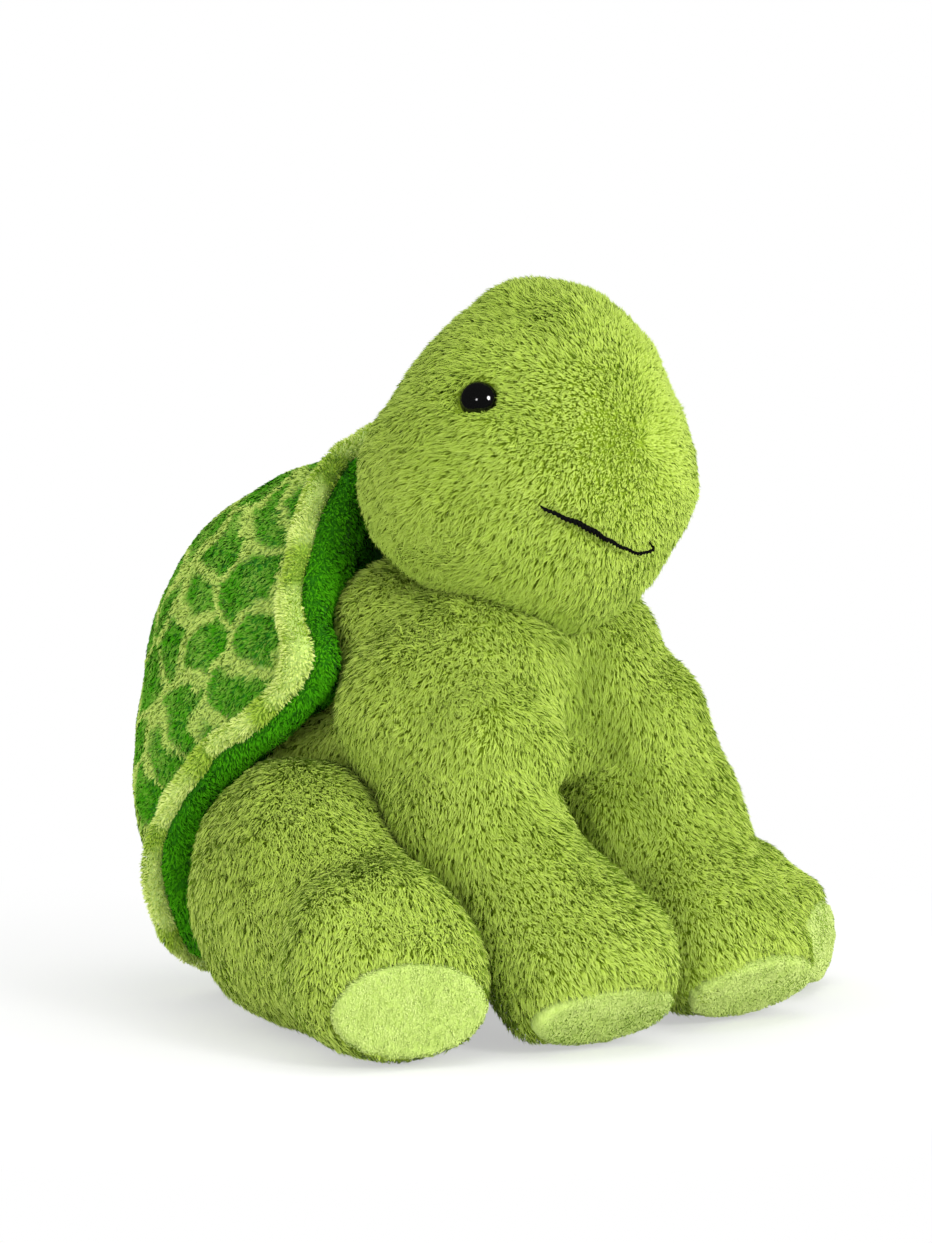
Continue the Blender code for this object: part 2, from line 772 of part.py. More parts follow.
def build_torso(frame, pile, fibre):
    def sockets(gap):
        legs = foreleg_form(gap), mirrored_form(foreleg_form(gap))
        return *legs, ball((0, NECK_Y, NECK_Z), NECK_RADIUS + gap)

    skin = cut(torso_form(), below_floor())
    skin = cut(skin, torso_form(-SKIN_WALL, INNER_SIDES, INNER_RINGS), *sockets(TURN_GAP))
    finish(skin, "torso_skin", frame, pile)
    filling = torso_form(-SKIN_WALL - FIT_GAP, INNER_SIDES, INNER_RINGS)
    cut(filling, *sockets(TURN_GAP))
    finish(filling, "torso_filling", frame, fibre)


def mirrored_form(piece):
    twin = mirrored(piece)
    discard(piece)
    return twin


def build_head(neck, head, pile, fibre, black, thread, white):
    centre = (0, NECK_Y, NECK_Z)
    finish(ball(centre, NECK_RADIUS), "neck_filling", neck, fibre)
    skin = head_form()
    cut(skin, head_form(-SKIN_WALL, INNER_SIDES + 2, INNER_RINGS))
    filling = head_form(-SKIN_WALL - FIT_GAP, INNER_SIDES + 2, INNER_RINGS)
    for piece in (skin, filling):
        cut(piece, ball(centre, NECK_RADIUS + TURN_GAP))
    for side in ("right", "left"):
        seats, pocket = eye_seat_cutters(), eye_pocket()
        plastic, washer = eye(), eye_washer()
        if side == "left":
            seats = [mirrored_form(cutter) for cutter in seats]
            pocket, plastic, washer = (
                mirrored_form(made) for made in (pocket, plastic, washer)
            )
        cut(skin, *seats)
        cut(filling, pocket)
        finish(plastic, f"eye_{side}", head, black)
        finish(washer, f"eye_washer_{side}", head, white)
    finish(skin, "head_skin", head, pile)
    finish(filling, "head_filling", head, fibre)
    finish(mouth(), "mouth_stitches", head, thread)


def build_leg(names, pieces, carriers, surfaces):
    """Finishes the right leg's pieces and their mirror images."""
    for name, piece, surface in zip(names, pieces, surfaces):
        twin = mirrored(piece)
        finish(piece, name.format("right"), carriers[0], surface)
        finish(twin, name.format("left"), carriers[1], surface)


def foreleg_pieces():
    skin = cut(foreleg_form(), below_floor())
    cut(skin, foreleg_form(-SKIN_WALL, INNER_SIDES, INNER_STEPS))
    mouth_cutter = rod(shoulder(), (0, 1, 0), SHOULDER_MOUTH_RADIUS, 2 * SHOULDER_RADIUS)
    cut(skin, mouth_cutter)
    filling = foreleg_form(-SKIN_WALL - FIT_GAP, INNER_SIDES, INNER_STEPS)
    return skin, filling, forepaw_pad()


def hind_leg_pieces():
    skin = cut(hind_leg_body(0, LEG_SIDES, LEG_STEPS), below_floor())
    cut(skin, hind_leg_body(SKIN_WALL, INNER_SIDES, INNER_STEPS))
    cut(skin, rod((-THIGH_X, THIGH_Y, HIP_Z), (1, 0, 0), HIP_MOUTH_RADIUS, THIGH_HALF_LENGTH))
    filling = hind_leg_body(SKIN_WALL + FIT_GAP, INNER_SIDES, INNER_STEPS)
    return skin, filling, foot_pad()


def build_shell(frame, printed, pale, deep, fibre):
    finish(shell_cover(), "shell_cover", frame, printed)
    for name, made, surface in (
        ("shell_padding", shell_padding(), fibre),
        ("shell_facing", shell_facing(), deep),
    ):
        cut(made, torso_form(FIT_GAP, TORSO_SIDES, TORSO_RINGS))
        finish(made, name, frame, surface)
    finish(shell_piping(), "shell_piping", frame, pale)


def main():
    for old in list(bpy.data.objects):
        bpy.data.objects.remove(old)
    pile = material("lime_pile", LIME_PILE, 0.95)
    short_pile = material("pale_pile", PALE_PILE, 0.9)
    fibre = material("filling_fibre", FIBRE, 0.95)
    printed = material("shell_print", SHELL_GREEN, 0.85)
    pale = material("piping_pile", PIPING_GREEN, 0.85)
    deep = material("facing_pile", DEEP_GREEN, 0.9)
    black = material("eye_plastic", GLOSS_BLACK, 0.08)
    thread = material("mouth_thread", THREAD_BLACK, 0.7)
    white = material("washer_plastic", WASHER_WHITE, 0.5)

    frame = joint("torso_frame", (0, 0, 0))
    neck = joint("neck_turn", (0, NECK_Y, NECK_Z), frame)
    head = joint("head_nod", (0, NECK_Y, NECK_Z), neck)
    shoulders = [joint("shoulder_right", shoulder(), frame)]
    hips = [joint("hip_right", hip(), frame)]
    flip = Matrix.Diagonal((-1, 1, 1))
    shoulders.append(joint("shoulder_left", flip @ shoulder(), frame))
    hips.append(joint("hip_left", flip @ hip(), frame))

    build_torso(frame, pile, fibre)
    build_head(neck, head, pile, fibre, black, thread, white)
    names = "foreleg_{}_skin", "foreleg_{}_filling", "forepaw_pad_{}"
    build_leg(names, foreleg_pieces(), shoulders, (pile, fibre, short_pile))
    names = "hind_leg_{}_skin", "hind_leg_{}_filling", "foot_pad_{}"
    build_leg(names, hind_leg_pieces(), hips, (pile, fibre, short_pile))
    build_shell(frame, printed, pale, deep, fibre)


main()
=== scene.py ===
"""A plush turtle that sits up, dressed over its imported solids.

Each stuffed part is a base cloth, made from its solids, with long pile growing from it. The pile is
made of narrow tapered strands in tufts. The shell is a padded dome with a mottled print, a pale
roll round its rim and a deep green facing. Metres, +Z up, the turtle faces -Y, its right at -X.
"""

import logging
import math
from dataclasses import dataclass, field, replace
from enum import Enum

import bmesh
import bpy
import numpy as np
from mathutils import Matrix, Vector
from mathutils.bvhtree import BVHTree
from mathutils.kdtree import KDTree


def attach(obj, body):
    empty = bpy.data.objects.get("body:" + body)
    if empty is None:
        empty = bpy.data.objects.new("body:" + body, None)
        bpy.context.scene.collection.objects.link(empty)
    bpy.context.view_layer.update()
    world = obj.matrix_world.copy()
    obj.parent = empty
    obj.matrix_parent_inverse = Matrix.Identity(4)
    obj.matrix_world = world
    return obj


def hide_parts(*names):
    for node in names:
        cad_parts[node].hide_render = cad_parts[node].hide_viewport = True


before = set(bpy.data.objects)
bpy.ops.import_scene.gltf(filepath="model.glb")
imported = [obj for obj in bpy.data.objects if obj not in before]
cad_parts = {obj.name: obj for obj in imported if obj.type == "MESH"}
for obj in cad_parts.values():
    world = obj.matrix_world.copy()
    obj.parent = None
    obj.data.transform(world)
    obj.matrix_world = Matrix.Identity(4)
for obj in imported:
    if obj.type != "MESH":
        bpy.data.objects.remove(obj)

LOG = logging.getLogger("turtle")
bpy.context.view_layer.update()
TONES = 64  # columns of tone on the strands' map
BARE_SHARE = 0.02  # cloth whose pile is shorter than this share of its length stays bare
SIGHT_LINES = 30  # lines of sight from each point of a cloth
SIGHT_REACH = 0.10
SIGHT_LIFT = 0.004
SIGHT_SHARES = (0.02, 0.30)  # shares of open lines between which the pile thickens
LEAST_SIGHT_SLOPE = 0.2
PILE_MAP = "OFBake"
FLOOR_CLEARANCE = 0.0004
SMOOTHING_STEPS = (0.5, -0.52)  # shares of a shrinking and of a swelling step
CLOTH_QUALITY = 5
STUFFING_PRESSURE = 4.0
CLOTH_NEIGHBOURS = 4  # points of the coarse cloth that each point of the fine one follows
PLY_SIDES = 8
CAD_PIPING_SIDES = 8
CAD_THREAD_SIDES = 6
DOME_SEED, FRONT_SEED, ROLL_SEED = 71, 72, 73
PRINT_SEED, SPOT_SEED, RIM_SEED, SOLE_SEED = 51, 53, 60, 81
HEAD_MIDDLE = (0.0, -0.065, 0.235)
FACE_MIDDLE = (0.0, -0.060, 0.235)

Points = np.ndarray
Finishes = dict[str, bpy.types.Material]


class Side(Enum):
    """A side of the turtle, with the sign of its X."""

    RIGHT = -1
    LEFT = 1

    @property
    def word(self) -> str:
        """The side as it stands in the names of nodes."""
        return self.name.lower()


class LegKind(Enum):
    """The two kinds of leg, with the start of their nodes' and of their soles' names."""

    HIND = ("hind_leg", "foot_pad")
    FORE = ("foreleg", "forepaw_pad")

    def leg(self, side: Side) -> str:
        """Name of the leg on a side."""
        return f"{self.value[0]}_{side.word}"

    def sole(self, side: Side) -> str:
        """Name of the leg's sole on a side."""
        return f"{self.value[1]}_{side.word}"


# Numbers and fields


def unit(vectors: Points) -> Points:
    """The vectors with length one."""
    return vectors / np.maximum(np.linalg.norm(vectors, axis=-1, keepdims=True), 1e-9)


def ease(values: Points, low: float, high: float) -> Points:
    """Rises smoothly from 0 at low to 1 at high."""
    share = np.clip((values - low) / (high - low), 0, 1)
    return share * share * (3 - 2 * share)


@dataclass(frozen=True)
class WaveField:
    """A smooth random field, the sum of plane waves.

    Args:
        wavelength: distance between its swells, in metres.
        seed: start of its random draws.
        waves: how many waves it sums.
    """

    wavelength: float
    seed: int
    waves: int = 20

    def value(self, points: Points, row: int = 0) -> Points:
        """The field at each point, about -1 to 1.

        Args:
            points: places in metres.
            row: which of several independent fields is read.

        Returns:
            One number per point.
        """
        rng = np.random.default_rng(self.seed * 31 + row)
        ways = unit(rng.normal(size=(self.waves, 3)))
        steps = ways * rng.uniform(0.6, 1.6, (self.waves, 1)) * 2 * math.pi / self.wavelength
        phases = rng.uniform(0, 2 * math.pi, self.waves)
        return np.cos(points @ steps.T + phases).sum(1) / math.sqrt(self.waves)

    def vectors(self, points: Points) -> Points:
        """Three independent fields as vectors, one per point."""
        return np.stack([self.value(points, row) for row in (1, 2, 3)], 1)


# Meshes


def read_rows(
    rows: bpy.types.bpy_prop_collection, name: str, width: int, kind: type = np.float32
) -> Points:
    """Reads one property of a mesh's vertices, normals, edges or triangles.

    Args:
        rows: what is read.
        name: of the property.
        width: how many numbers each row has.
        kind: of the numbers.

    Returns:
        One row of numbers for each.
    """
    values = np.empty(len(rows) * width, kind)
    rows.foreach_get(name, values)
    return values.reshape(-1, width)


def points_of(mesh: bpy.types.Mesh) -> Points:
    """The places of a mesh's vertices."""
    return read_rows(mesh.vertices, "co", 3).astype(float)


def normals_of(mesh: bpy.types.Mesh) -> Points:
    """The smooth normals at a mesh's vertices."""
    return read_rows(mesh.vertex_normals, "vector", 3).astype(float)


def edges_of(mesh: bpy.types.Mesh) -> Points:
    """The vertex numbers of a mesh's edges."""
    return read_rows(mesh.edges, "vertices", 2, np.int32)


def triangles_of(mesh: bpy.types.Mesh) -> Points:
    """The vertex numbers of a mesh's triangles."""
    mesh.calc_loop_triangles()
    return read_rows(mesh.loop_triangles, "vertices", 3, np.int32)


def place_points(mesh: bpy.types.Mesh, points: Points) -> None:
    """Moves a mesh's vertices to the points."""
    mesh.vertices.foreach_set("co", points.astype(np.float32).ravel())
    mesh.update()


def neighbour_sums(values: Points, ends: Points) -> Points:
    """Sums the values of each vertex's neighbours along the edges.

    Args:
        values: one row per vertex.
        ends: the edges.

    Returns:
        One row per vertex.
    """
    total = np.zeros_like(values)
    for column in range(values.shape[1]):
        line = values[:, column]
        total[:, column] = np.bincount(ends[:, 0], line[ends[:, 1]], len(values))
        total[:, column] += np.bincount(ends[:, 1], line[ends[:, 0]], len(values))
    return total


def spread_over(values: Points, ends: Points, rounds: int) -> Points:
    """Averages values with their neighbours' along the edges.

    Args:
        values: one number per vertex.
        ends: the edges.
        rounds: how many times they are averaged.

    Returns:
        The smoother values.
    """
    count = np.maximum(np.bincount(ends.ravel(), minlength=len(values)), 1)
    for _ in range(rounds):
        values = 0.5 * values + 0.5 * neighbour_sums(values[:, None], ends)[:, 0] / count
    return values


def relax(mesh: bpy.types.Mesh, rounds: int) -> None:
    """Takes the facets out of a mesh without shrinking it.

    Args:
        mesh: what is smoothed.
        rounds: how many pairs of a shrinking and a swelling step are made.
    """
    ends, points = edges_of(mesh), points_of(mesh)
    count = np.bincount(ends.ravel(), minlength=len(points))[:, None]
    for step in range(2 * rounds):
        change = neighbour_sums(points, ends) / count - points
        points = points + SMOOTHING_STEPS[step % 2] * change
    place_points(mesh, points)


def new_object(name: str, mesh: bpy.types.Mesh) -> bpy.types.Object:
    """Makes an object for a mesh and links it into the scene.

    Args:
        name: name of the object.
        mesh: its mesh.

    Returns:
        The new object.
    """
    made = bpy.data.objects.new(name, mesh)
    bpy.context.scene.collection.objects.link(made)
    return made


def remove(made: bpy.types.Object) -> None:
    """Removes an object and its mesh.

    Args:
        made: the object.
    """
    mesh = made.data
    bpy.data.objects.remove(made)
    bpy.data.meshes.remove(mesh)


def select_nothing() -> None:
    """Deselects every object, so that an operator acts on none of them."""
    for other in bpy.context.selected_objects:
        other.select_set(False)
    bpy.context.view_layer.objects.active = None


def select_only(made: bpy.types.Object) -> None:
    """Selects one object and nothing else.

    Args:
        made: the object.
    """
    select_nothing()
    made.select_set(True)
    bpy.context.view_layer.objects.active = made


def joined_nodes(name: str, nodes: tuple[str, ...], balls: tuple = ()) -> bpy.types.Object:
    """Copies of CAD nodes and balls in one mesh, with their doubles merged.

    Args:
        name: name of the new object.
        nodes: CAD nodes that it takes in.
        balls: middles and radii of balls that it takes in too.

    Returns:
        The new object.
    """
    shape = bmesh.new()
    for middle, radius in balls:
        place = Matrix.Translation(middle)
        bmesh.ops.create_icosphere(shape, subdivisions=4, radius=radius, matrix=place)
    for node in nodes:
        shape.from_mesh(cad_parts[node].data)
    bmesh.ops.remove_doubles(shape, verts=shape.verts, dist=1e-5)
    mesh = bpy.data.meshes.new(name)
    shape.to_mesh(mesh)
    shape.free()
    return new_object(name, mesh)


def keep_outside(mesh: bpy.types.Mesh) -> None:
    """Leaves only the largest connected surface of a mesh.

    Args:
        mesh: what is cleared.
    """
    ends = edges_of(mesh)
    label = np.arange(len(mesh.vertices))
    while True:
        low = np.minimum(label[ends[:, 0]], label[ends[:, 1]])
        new = label.copy()
        np.minimum.at(new, ends[:, 0], low)
        np.minimum.at(new, ends[:, 1], low)
        new = new[new]
        if (new == label).all():
            break
        label = new
    names, counts = np.unique(label, return_counts=True)
    if len(names) == 1:
        return
    keep = names[counts.argmax()]
    shape = bmesh.new()
    shape.from_mesh(mesh)
    shape.verts.ensure_lookup_table()
    loose = [shape.verts[k] for k in np.nonzero(label != keep)[0]]
    bmesh.ops.delete(shape, geom=loose, context="VERTS")
    shape.to_mesh(mesh)
    shape.free()


def even_out(made: bpy.types.Object, voxel: float) -> None:
    """Remeshes an object to even faces and drops what is inside.

    Args:
        made: the object.
        voxel: size of the faces, in metres.
    """
    select_only(made)
    modifier = made.modifiers.new("Even", "REMESH")
    modifier.mode = "VOXEL"
    modifier.voxel_size = voxel
    bpy.ops.object.modifier_apply(modifier=modifier.name)
    keep_outside(made.data)


def swell(made: bpy.types.Object, distance: float) -> None:
    """Moves a surface outward along its normals."""
    mesh = made.data
    place_points(mesh, points_of(mesh) + normals_of(mesh) * distance)


def fill_creases(made: bpy.types.Object, depth: float, voxel: float, steps: int = 3) -> None:
    """Fills the hollows of a form with a fillet, as stuffing does under one cloth.

    Args:
        made: the form.
        depth: radius of the fillet, in metres.
        voxel: size of the faces.
        steps: how many even steps the form is swollen in.
    """
    for _ in range(steps):
        swell(made, depth / steps)
        even_out(made, voxel)
    relax(made.data, 6)
    for _ in range(steps):
        swell(made, -depth / steps)
        relax(made.data, 2)
    even_out(made, voxel)


def soft_copy(
    name: str,
    nodes: tuple[str, ...],
    voxel: float,
    rounds: int,
    balls: tuple = (),
    fillet: float = 0,
) -> bpy.types.Object:
    """A closed, even and smooth mesh round CAD nodes.

    Args:
        name: name of the new object.
        nodes: CAD nodes that it takes in.
        voxel: size of its faces, in metres.
        rounds: how much it is smoothed.
        balls: middles and radii of balls that it takes in too.
        fillet: radius with which its hollows are filled.

    Returns:
        The new object, at the origin.
    """
    made = joined_nodes(name, nodes, balls)
    even_out(made, voxel)
    if fillet:
        fill_creases(made, fillet, voxel)
    relax(made.data, rounds)
    made.data.shade_smooth()
    return made


def inflate(made: bpy.types.Object, cell: float, most: float, frames: int = 20) -> None:
    """Lets a closed cloth fill out under its stuffing, by a simulation on a coarse copy.

    The cloth follows the copy's relief and keeps its size as a whole.

    Args:
        made: the closed cloth.
        cell: size of the copy's faces, in metres.
        most: how far a point of the copy may move.
        frames: how long the simulation runs.
    """
    coarse = new_object(f"{made.name}_coarse", made.data.copy())
    even_out(coarse, cell)
    start, out = points_of(coarse.data), normals_of(coarse.data)
    select_only(coarse)
    cloth = coarse.modifiers.new("Cloth", "CLOTH")
    cloth.settings.quality = CLOTH_QUALITY
    cloth.settings.use_pressure = True
    cloth.settings.uniform_pressure_force = STUFFING_PRESSURE
    cloth.settings.effector_weights.gravity = 0.0
    cloth.point_cache.frame_start, cloth.point_cache.frame_end = 1, frames
    for time in range(1, frames + 1):
        bpy.context.scene.frame_set(time)
    bpy.ops.object.modifier_apply(modifier=cloth.name)
    moved = points_of(coarse.data) - start
    bpy.context.scene.frame_set(1)
    moved *= np.minimum(1, most / np.maximum(np.linalg.norm(moved, axis=1), 1e-9))[:, None]
    moved -= out * (moved * out).sum(1).mean()
    tree = KDTree(len(start))
    for k, point in enumerate(start.tolist()):
        tree.insert(point, k)
    tree.balance()
    points = points_of(made.data)
    steps = np.zeros_like(points)
    for k, point in enumerate(points.tolist()):
        near = tree.find_n(point, CLOTH_NEIGHBOURS)
        weights = np.array([1 / (gap + 0.1 * cell) for _, _, gap in near])
        steps[k] = weights @ moved[[place for _, place, _ in near]] / weights.sum()
    place_points(made.data, points + steps)
    remove(coarse)
    sizes = np.linalg.norm(steps, axis=1)
    LOG.info("%s: simulated, moved %.2f mm at most", made.name, 1000 * sizes.max())


def closed_line(knots: Points, count: int) -> Points:
    """A smooth closed line through knots, with evenly spaced points.

    Args:
        knots: points along it, evenly spaced or nearly so.
        count: how many points the line has.

    Returns:
        The line's points.
    """
    waves = np.fft.rfft(knots, axis=0)
    waves[len(knots) // 3 :] = 0
    dense = np.fft.irfft(waves, 8 * count, axis=0) * (8 * count / len(knots))
    runs = np.linalg.norm(np.diff(np.vstack([dense, dense[:1]]), axis=0), axis=1)
    way = np.concatenate([[0], np.cumsum(runs)])
    at = np.linspace(0, way[-1], count, endpoint=False)
    looped = np.vstack([dense, dense[:1]])
    return np.stack([np.interp(at, way, looped[:, k]) for k in range(3)], 1)


def ring_tube(
    name: str, line: Points, middle: Points, radius: Points, sides: int
) -> bpy.types.Object:
    """A closed tube round a line.

    Args:
        name: name of the object.
        line: the closed line.
        middle: point that the tube's seam is turned away from.
        radius: of the tube at each point.
        sides: faces round it.

    Returns:
        The new object.
    """
    ahead = unit(np.roll(line, -1, 0) - np.roll(line, 1, 0))
    out = line - middle
    out = unit(out - ahead * (out * ahead).sum(1, keepdims=True))
    side = np.cross(ahead, out)
    turns = np.arange(sides) / sides * 2 * math.pi
    arms = out[:, None] * np.cos(turns)[:, None] + side[:, None] * np.sin(turns)[:, None]
    points = (line[:, None] + arms * radius[:, None, None]).reshape(-1, 3)
    rows, columns = np.meshgrid(np.arange(len(line)), np.arange(sides), indexing="ij")
    after, beside = (rows + 1) % len(line), (columns + 1) % sides
    corners = [(rows, columns), (after, columns), (after, beside), (rows, beside)]
    faces = np.stack([(row * sides + column).ravel() for row, column in corners], 1)
    mesh = bpy.data.meshes.new(name)
    mesh.from_pydata(points.tolist(), [], faces[:, ::-1].tolist())
    mesh.shade_smooth()
    return new_object(name, mesh)


def dented(points: Points, normals: Points, dents: tuple) -> Points:
    """Presses round dents into a surface.

    Args:
        points: its points.
        normals: its normals there.
        dents: middle, radius and depth of each dent.

    Returns:
        The new points.
    """
    moved = points.copy()
    for middle, radius, depth in dents:
        gap = np.linalg.norm(points - np.array(middle), axis=1) / radius
        moved -= normals * (depth * np.exp(-gap * gap))[:, None]
    return moved


def tree_of(*objects: bpy.types.Object) -> BVHTree:
    """A search tree over the triangles of objects.

    Args:
        objects: the objects, whose meshes lie in place.

    Returns:
        The tree.
    """
    points, faces, start = [], [], 0
    for made in objects:
        places = points_of(made.data)
        points += places.tolist()
        faces += (triangles_of(made.data) + start).tolist()
        start += len(places)
    return BVHTree.FromPolygons(points, faces)


def distances(tree: BVHTree, points: Points, most: float) -> Points:
    """How far each point is from a surface.

    Args:
        tree: the surface.
        points: the points.
        most: the distance that stands for anything further.

    Returns:
        One distance per point.
    """
    found = np.full(len(points), most)
    for k, point in enumerate(points.tolist()):
        _, _, _, gap = tree.find_nearest(point, most)
        if gap is not None:
            found[k] = gap
    return found


def thickness(points: Points, normals: Points, tree: BVHTree, least: float = 0.22) -> Points:
    """How dense the pile has to be: less where little of it can be seen.

    Args:
        points: of a cloth.
        normals: of the cloth.
        tree: every surface that hides others.
        least: the share where nothing shows.

    Returns:
        One share of the full density per point.
    """
    turns = np.arange(SIGHT_LINES) * math.pi * (3 - math.sqrt(5))
    levels = 1 - (2 * np.arange(SIGHT_LINES) + 1) / SIGHT_LINES
    rings = np.sqrt(1 - levels * levels)
    ways = np.stack([rings * np.cos(turns), rings * np.sin(turns), levels], 1)
    ahead = normals @ ways.T > LEAST_SIGHT_SLOPE
    starts = points + normals * SIGHT_LIFT
    rays = [Vector(way) for way in ways]
    seen = np.zeros(len(points))
    for k, start in enumerate(starts.tolist()):
        place, chosen = Vector(start), np.flatnonzero(ahead[k])
        for j in chosen.tolist():
            way = rays[j]
            grounded = way.z < 0 and place.z < -way.z * SIGHT_REACH
            seen[k] += 0 if grounded or tree.ray_cast(place, way, SIGHT_REACH)[0] else 1
        seen[k] /= max(len(chosen), 1)
    return least + (1 - least) * ease(seen, *SIGHT_SHARES)


# Finishes


def set_inputs(node: bpy.types.Node, values: dict) -> None:
    """Sets plain values of a node's inputs, by their names."""
    for name, value in values.items():
        node.inputs[name].default_value = value


def nap_group() -> bpy.types.NodeTree:
    """The fine nap of short pile, whose height is streaky up and down.

    Returns:
        The group's tree, built once.
    """
    old = bpy.data.node_groups.get("short_nap")
    if old:
        return old
    tree = bpy.data.node_groups.new("short_nap", "ShaderNodeTree")
    tree.interface.new_socket("Place", in_out="INPUT", socket_type="NodeSocketVector")
    tree.interface.new_socket("Fineness", in_out="INPUT", socket_type="NodeSocketFloat")
    tree.interface.new_socket("Height", in_out="OUTPUT", socket_type="NodeSocketFloat")
    start, end = tree.nodes.new("NodeGroupInput"), tree.nodes.new("NodeGroupOutput")
    links = tree.links
    stretch = tree.nodes.new("ShaderNodeVectorMath")
    stretch.operation = "MULTIPLY"
    stretch.inputs[1].default_value = (1.0, 1.0, 0.35)
    links.new(start.outputs["Place"], stretch.inputs[0])
    fine = tree.nodes.new("ShaderNodeTexNoise")
    fine.inputs["Detail"].default_value = 3
    links.new(stretch.outputs[0], fine.inputs["Vector"])
    links.new(start.outputs["Fineness"], fine.inputs["Scale"])
    links.new(fine.outputs["Fac"], end.inputs["Height"])
    return tree


def fresh_material(name: str) -> tuple[bpy.types.Material, bpy.types.Node]:
    """A new material with nodes.

    Args:
        name: of the material.

    Returns:
        The material and its Principled BSDF.
    """
    made = bpy.data.materials.new(name)
    made.use_nodes = True
    return made, made.node_tree.nodes["Principled BSDF"]


def ramp(tree: bpy.types.NodeTree, stops: tuple) -> bpy.types.Node:
    """A colour ramp.

    Args:
        tree: the node tree that it goes into.
        stops: place and colour of each stop.

    Returns:
        The ramp's node.
    """
    node = tree.nodes.new("ShaderNodeValToRGB")
    line = node.color_ramp
    while len(line.elements) < len(stops):
        line.elements.new(0.5)
    for element, (place, colour) in zip(line.elements, stops):
        element.position = place
        element.color = (*colour, 1)
    return node


@dataclass(frozen=True)
class StrandFinish:
    """Pile seen strand by strand: dark roots are painted shade, pale tips a painted highlight.

    Args:
        name: name of the material.
        dull: colours of the darkest tone from root to tip.
        bright: colours of the lightest tone from root to tip.
        places: where the three colours stand along a strand.
        roughness: of the strands.
        sheen: strength of the soft edge light.
        gloss: specular level.
    """

    name: str
    dull: tuple
    bright: tuple
    places: tuple = (0.0, 0.45, 1.0)
    roughness: float = 0.75
    sheen: float = 0.25
    gloss: float = 0.25

    def build(self) -> bpy.types.Material:
        """Builds the material, whose colour comes from the strand's own map.

        Returns:
            The material.
        """
        made, shader = fresh_material(self.name)
        tree = made.node_tree
        place = tree.nodes.new("ShaderNodeUVMap")
        place.uv_map = PILE_MAP
        parts = tree.nodes.new("ShaderNodeSeparateXYZ")
        tree.links.new(place.outputs["UV"], parts.inputs[0])
        mix = tree.nodes.new("ShaderNodeMix")
        mix.data_type = "RGBA"
        for socket, colours in (("A", self.dull), ("B", self.bright)):
            line = ramp(tree, tuple(zip(self.places, colours)))
            tree.links.new(parts.outputs["Y"], line.inputs["Fac"])
            target = next(s for s in mix.inputs if s.name == socket and s.type == "RGBA")
            tree.links.new(line.outputs["Color"], target)
        tree.links.new(parts.outputs["X"], mix.inputs["Factor"])
        result = next(s for s in mix.outputs if s.type == "RGBA")
        tree.links.new(result, shader.inputs["Base Color"])
        values = {
            "Roughness": self.roughness,
            "Specular IOR Level": self.gloss,
            "Sheen Weight": self.sheen,
            "Sheen Roughness": 0.45,
            "Sheen Tint": (0.85, 1.0, 0.45, 1),
        }
        set_inputs(shader, values)
        return made


@dataclass(frozen=True)
class NapFinish:
    """Base cloth or short pile with a streaky nap.

    Args:
        name: name of the material.
        deep: colour in the hollows of the nap, as painted shade.
        lit: colour on its tops, as painted light.
        fineness: how fine the nap is, per metre.
        bump: height of the nap, in metres.
        roughness: of the cloth.
        sheen: strength of the soft edge light.
        gloss: specular level.
    """

    name: str
    deep: tuple = (0.0, 0.0, 0.0)
    lit: tuple = (1.0, 1.0, 1.0)
    fineness: float = 900.0
    bump: float = 0.0006
    roughness: float = 0.9
    sheen: float = 0.1
    gloss: float = 0.15

    def build(self) -> bpy.types.Material:
        """Builds the material, in Object coordinates, with painted shade in the nap's hollows.

        Returns:
            The material.
        """
        made, shader = fresh_material(self.name)
        tree = made.node_tree
        height = self.nap(tree, shader)
        line = ramp(tree, ((0.30, self.deep), (0.70, self.lit)))
        tree.links.new(height, line.inputs["Fac"])
        tree.links.new(line.outputs["Color"], shader.inputs["Base Color"])
        return made

    def nap(self, tree: bpy.types.NodeTree, shader: bpy.types.Node) -> bpy.types.NodeSocket:
        """Raises the nap and sets the plain values.

        Args:
            tree: the material's tree.
            shader: the material's shader.

        Returns:
            The height of the nap.
        """
        place = tree.nodes.new("ShaderNodeTexCoord")
        nap = tree.nodes.new("ShaderNodeGroup")
        nap.node_tree = nap_group()
        nap.inputs["Fineness"].default_value = self.fineness
        tree.links.new(place.outputs["Object"], nap.inputs["Place"])
        bump = tree.nodes.new("ShaderNodeBump")
        bump.inputs["Distance"].default_value = self.bump
        tree.links.new(nap.outputs["Height"], bump.inputs["Height"])
        tree.links.new(bump.outputs["Normal"], shader.inputs["Normal"])
        values = {
            "Roughness": self.roughness,
            "Specular IOR Level": self.gloss,
            "Sheen Weight": self.sheen,
        }
        set_inputs(shader, values)
        return nap.outputs["Height"]


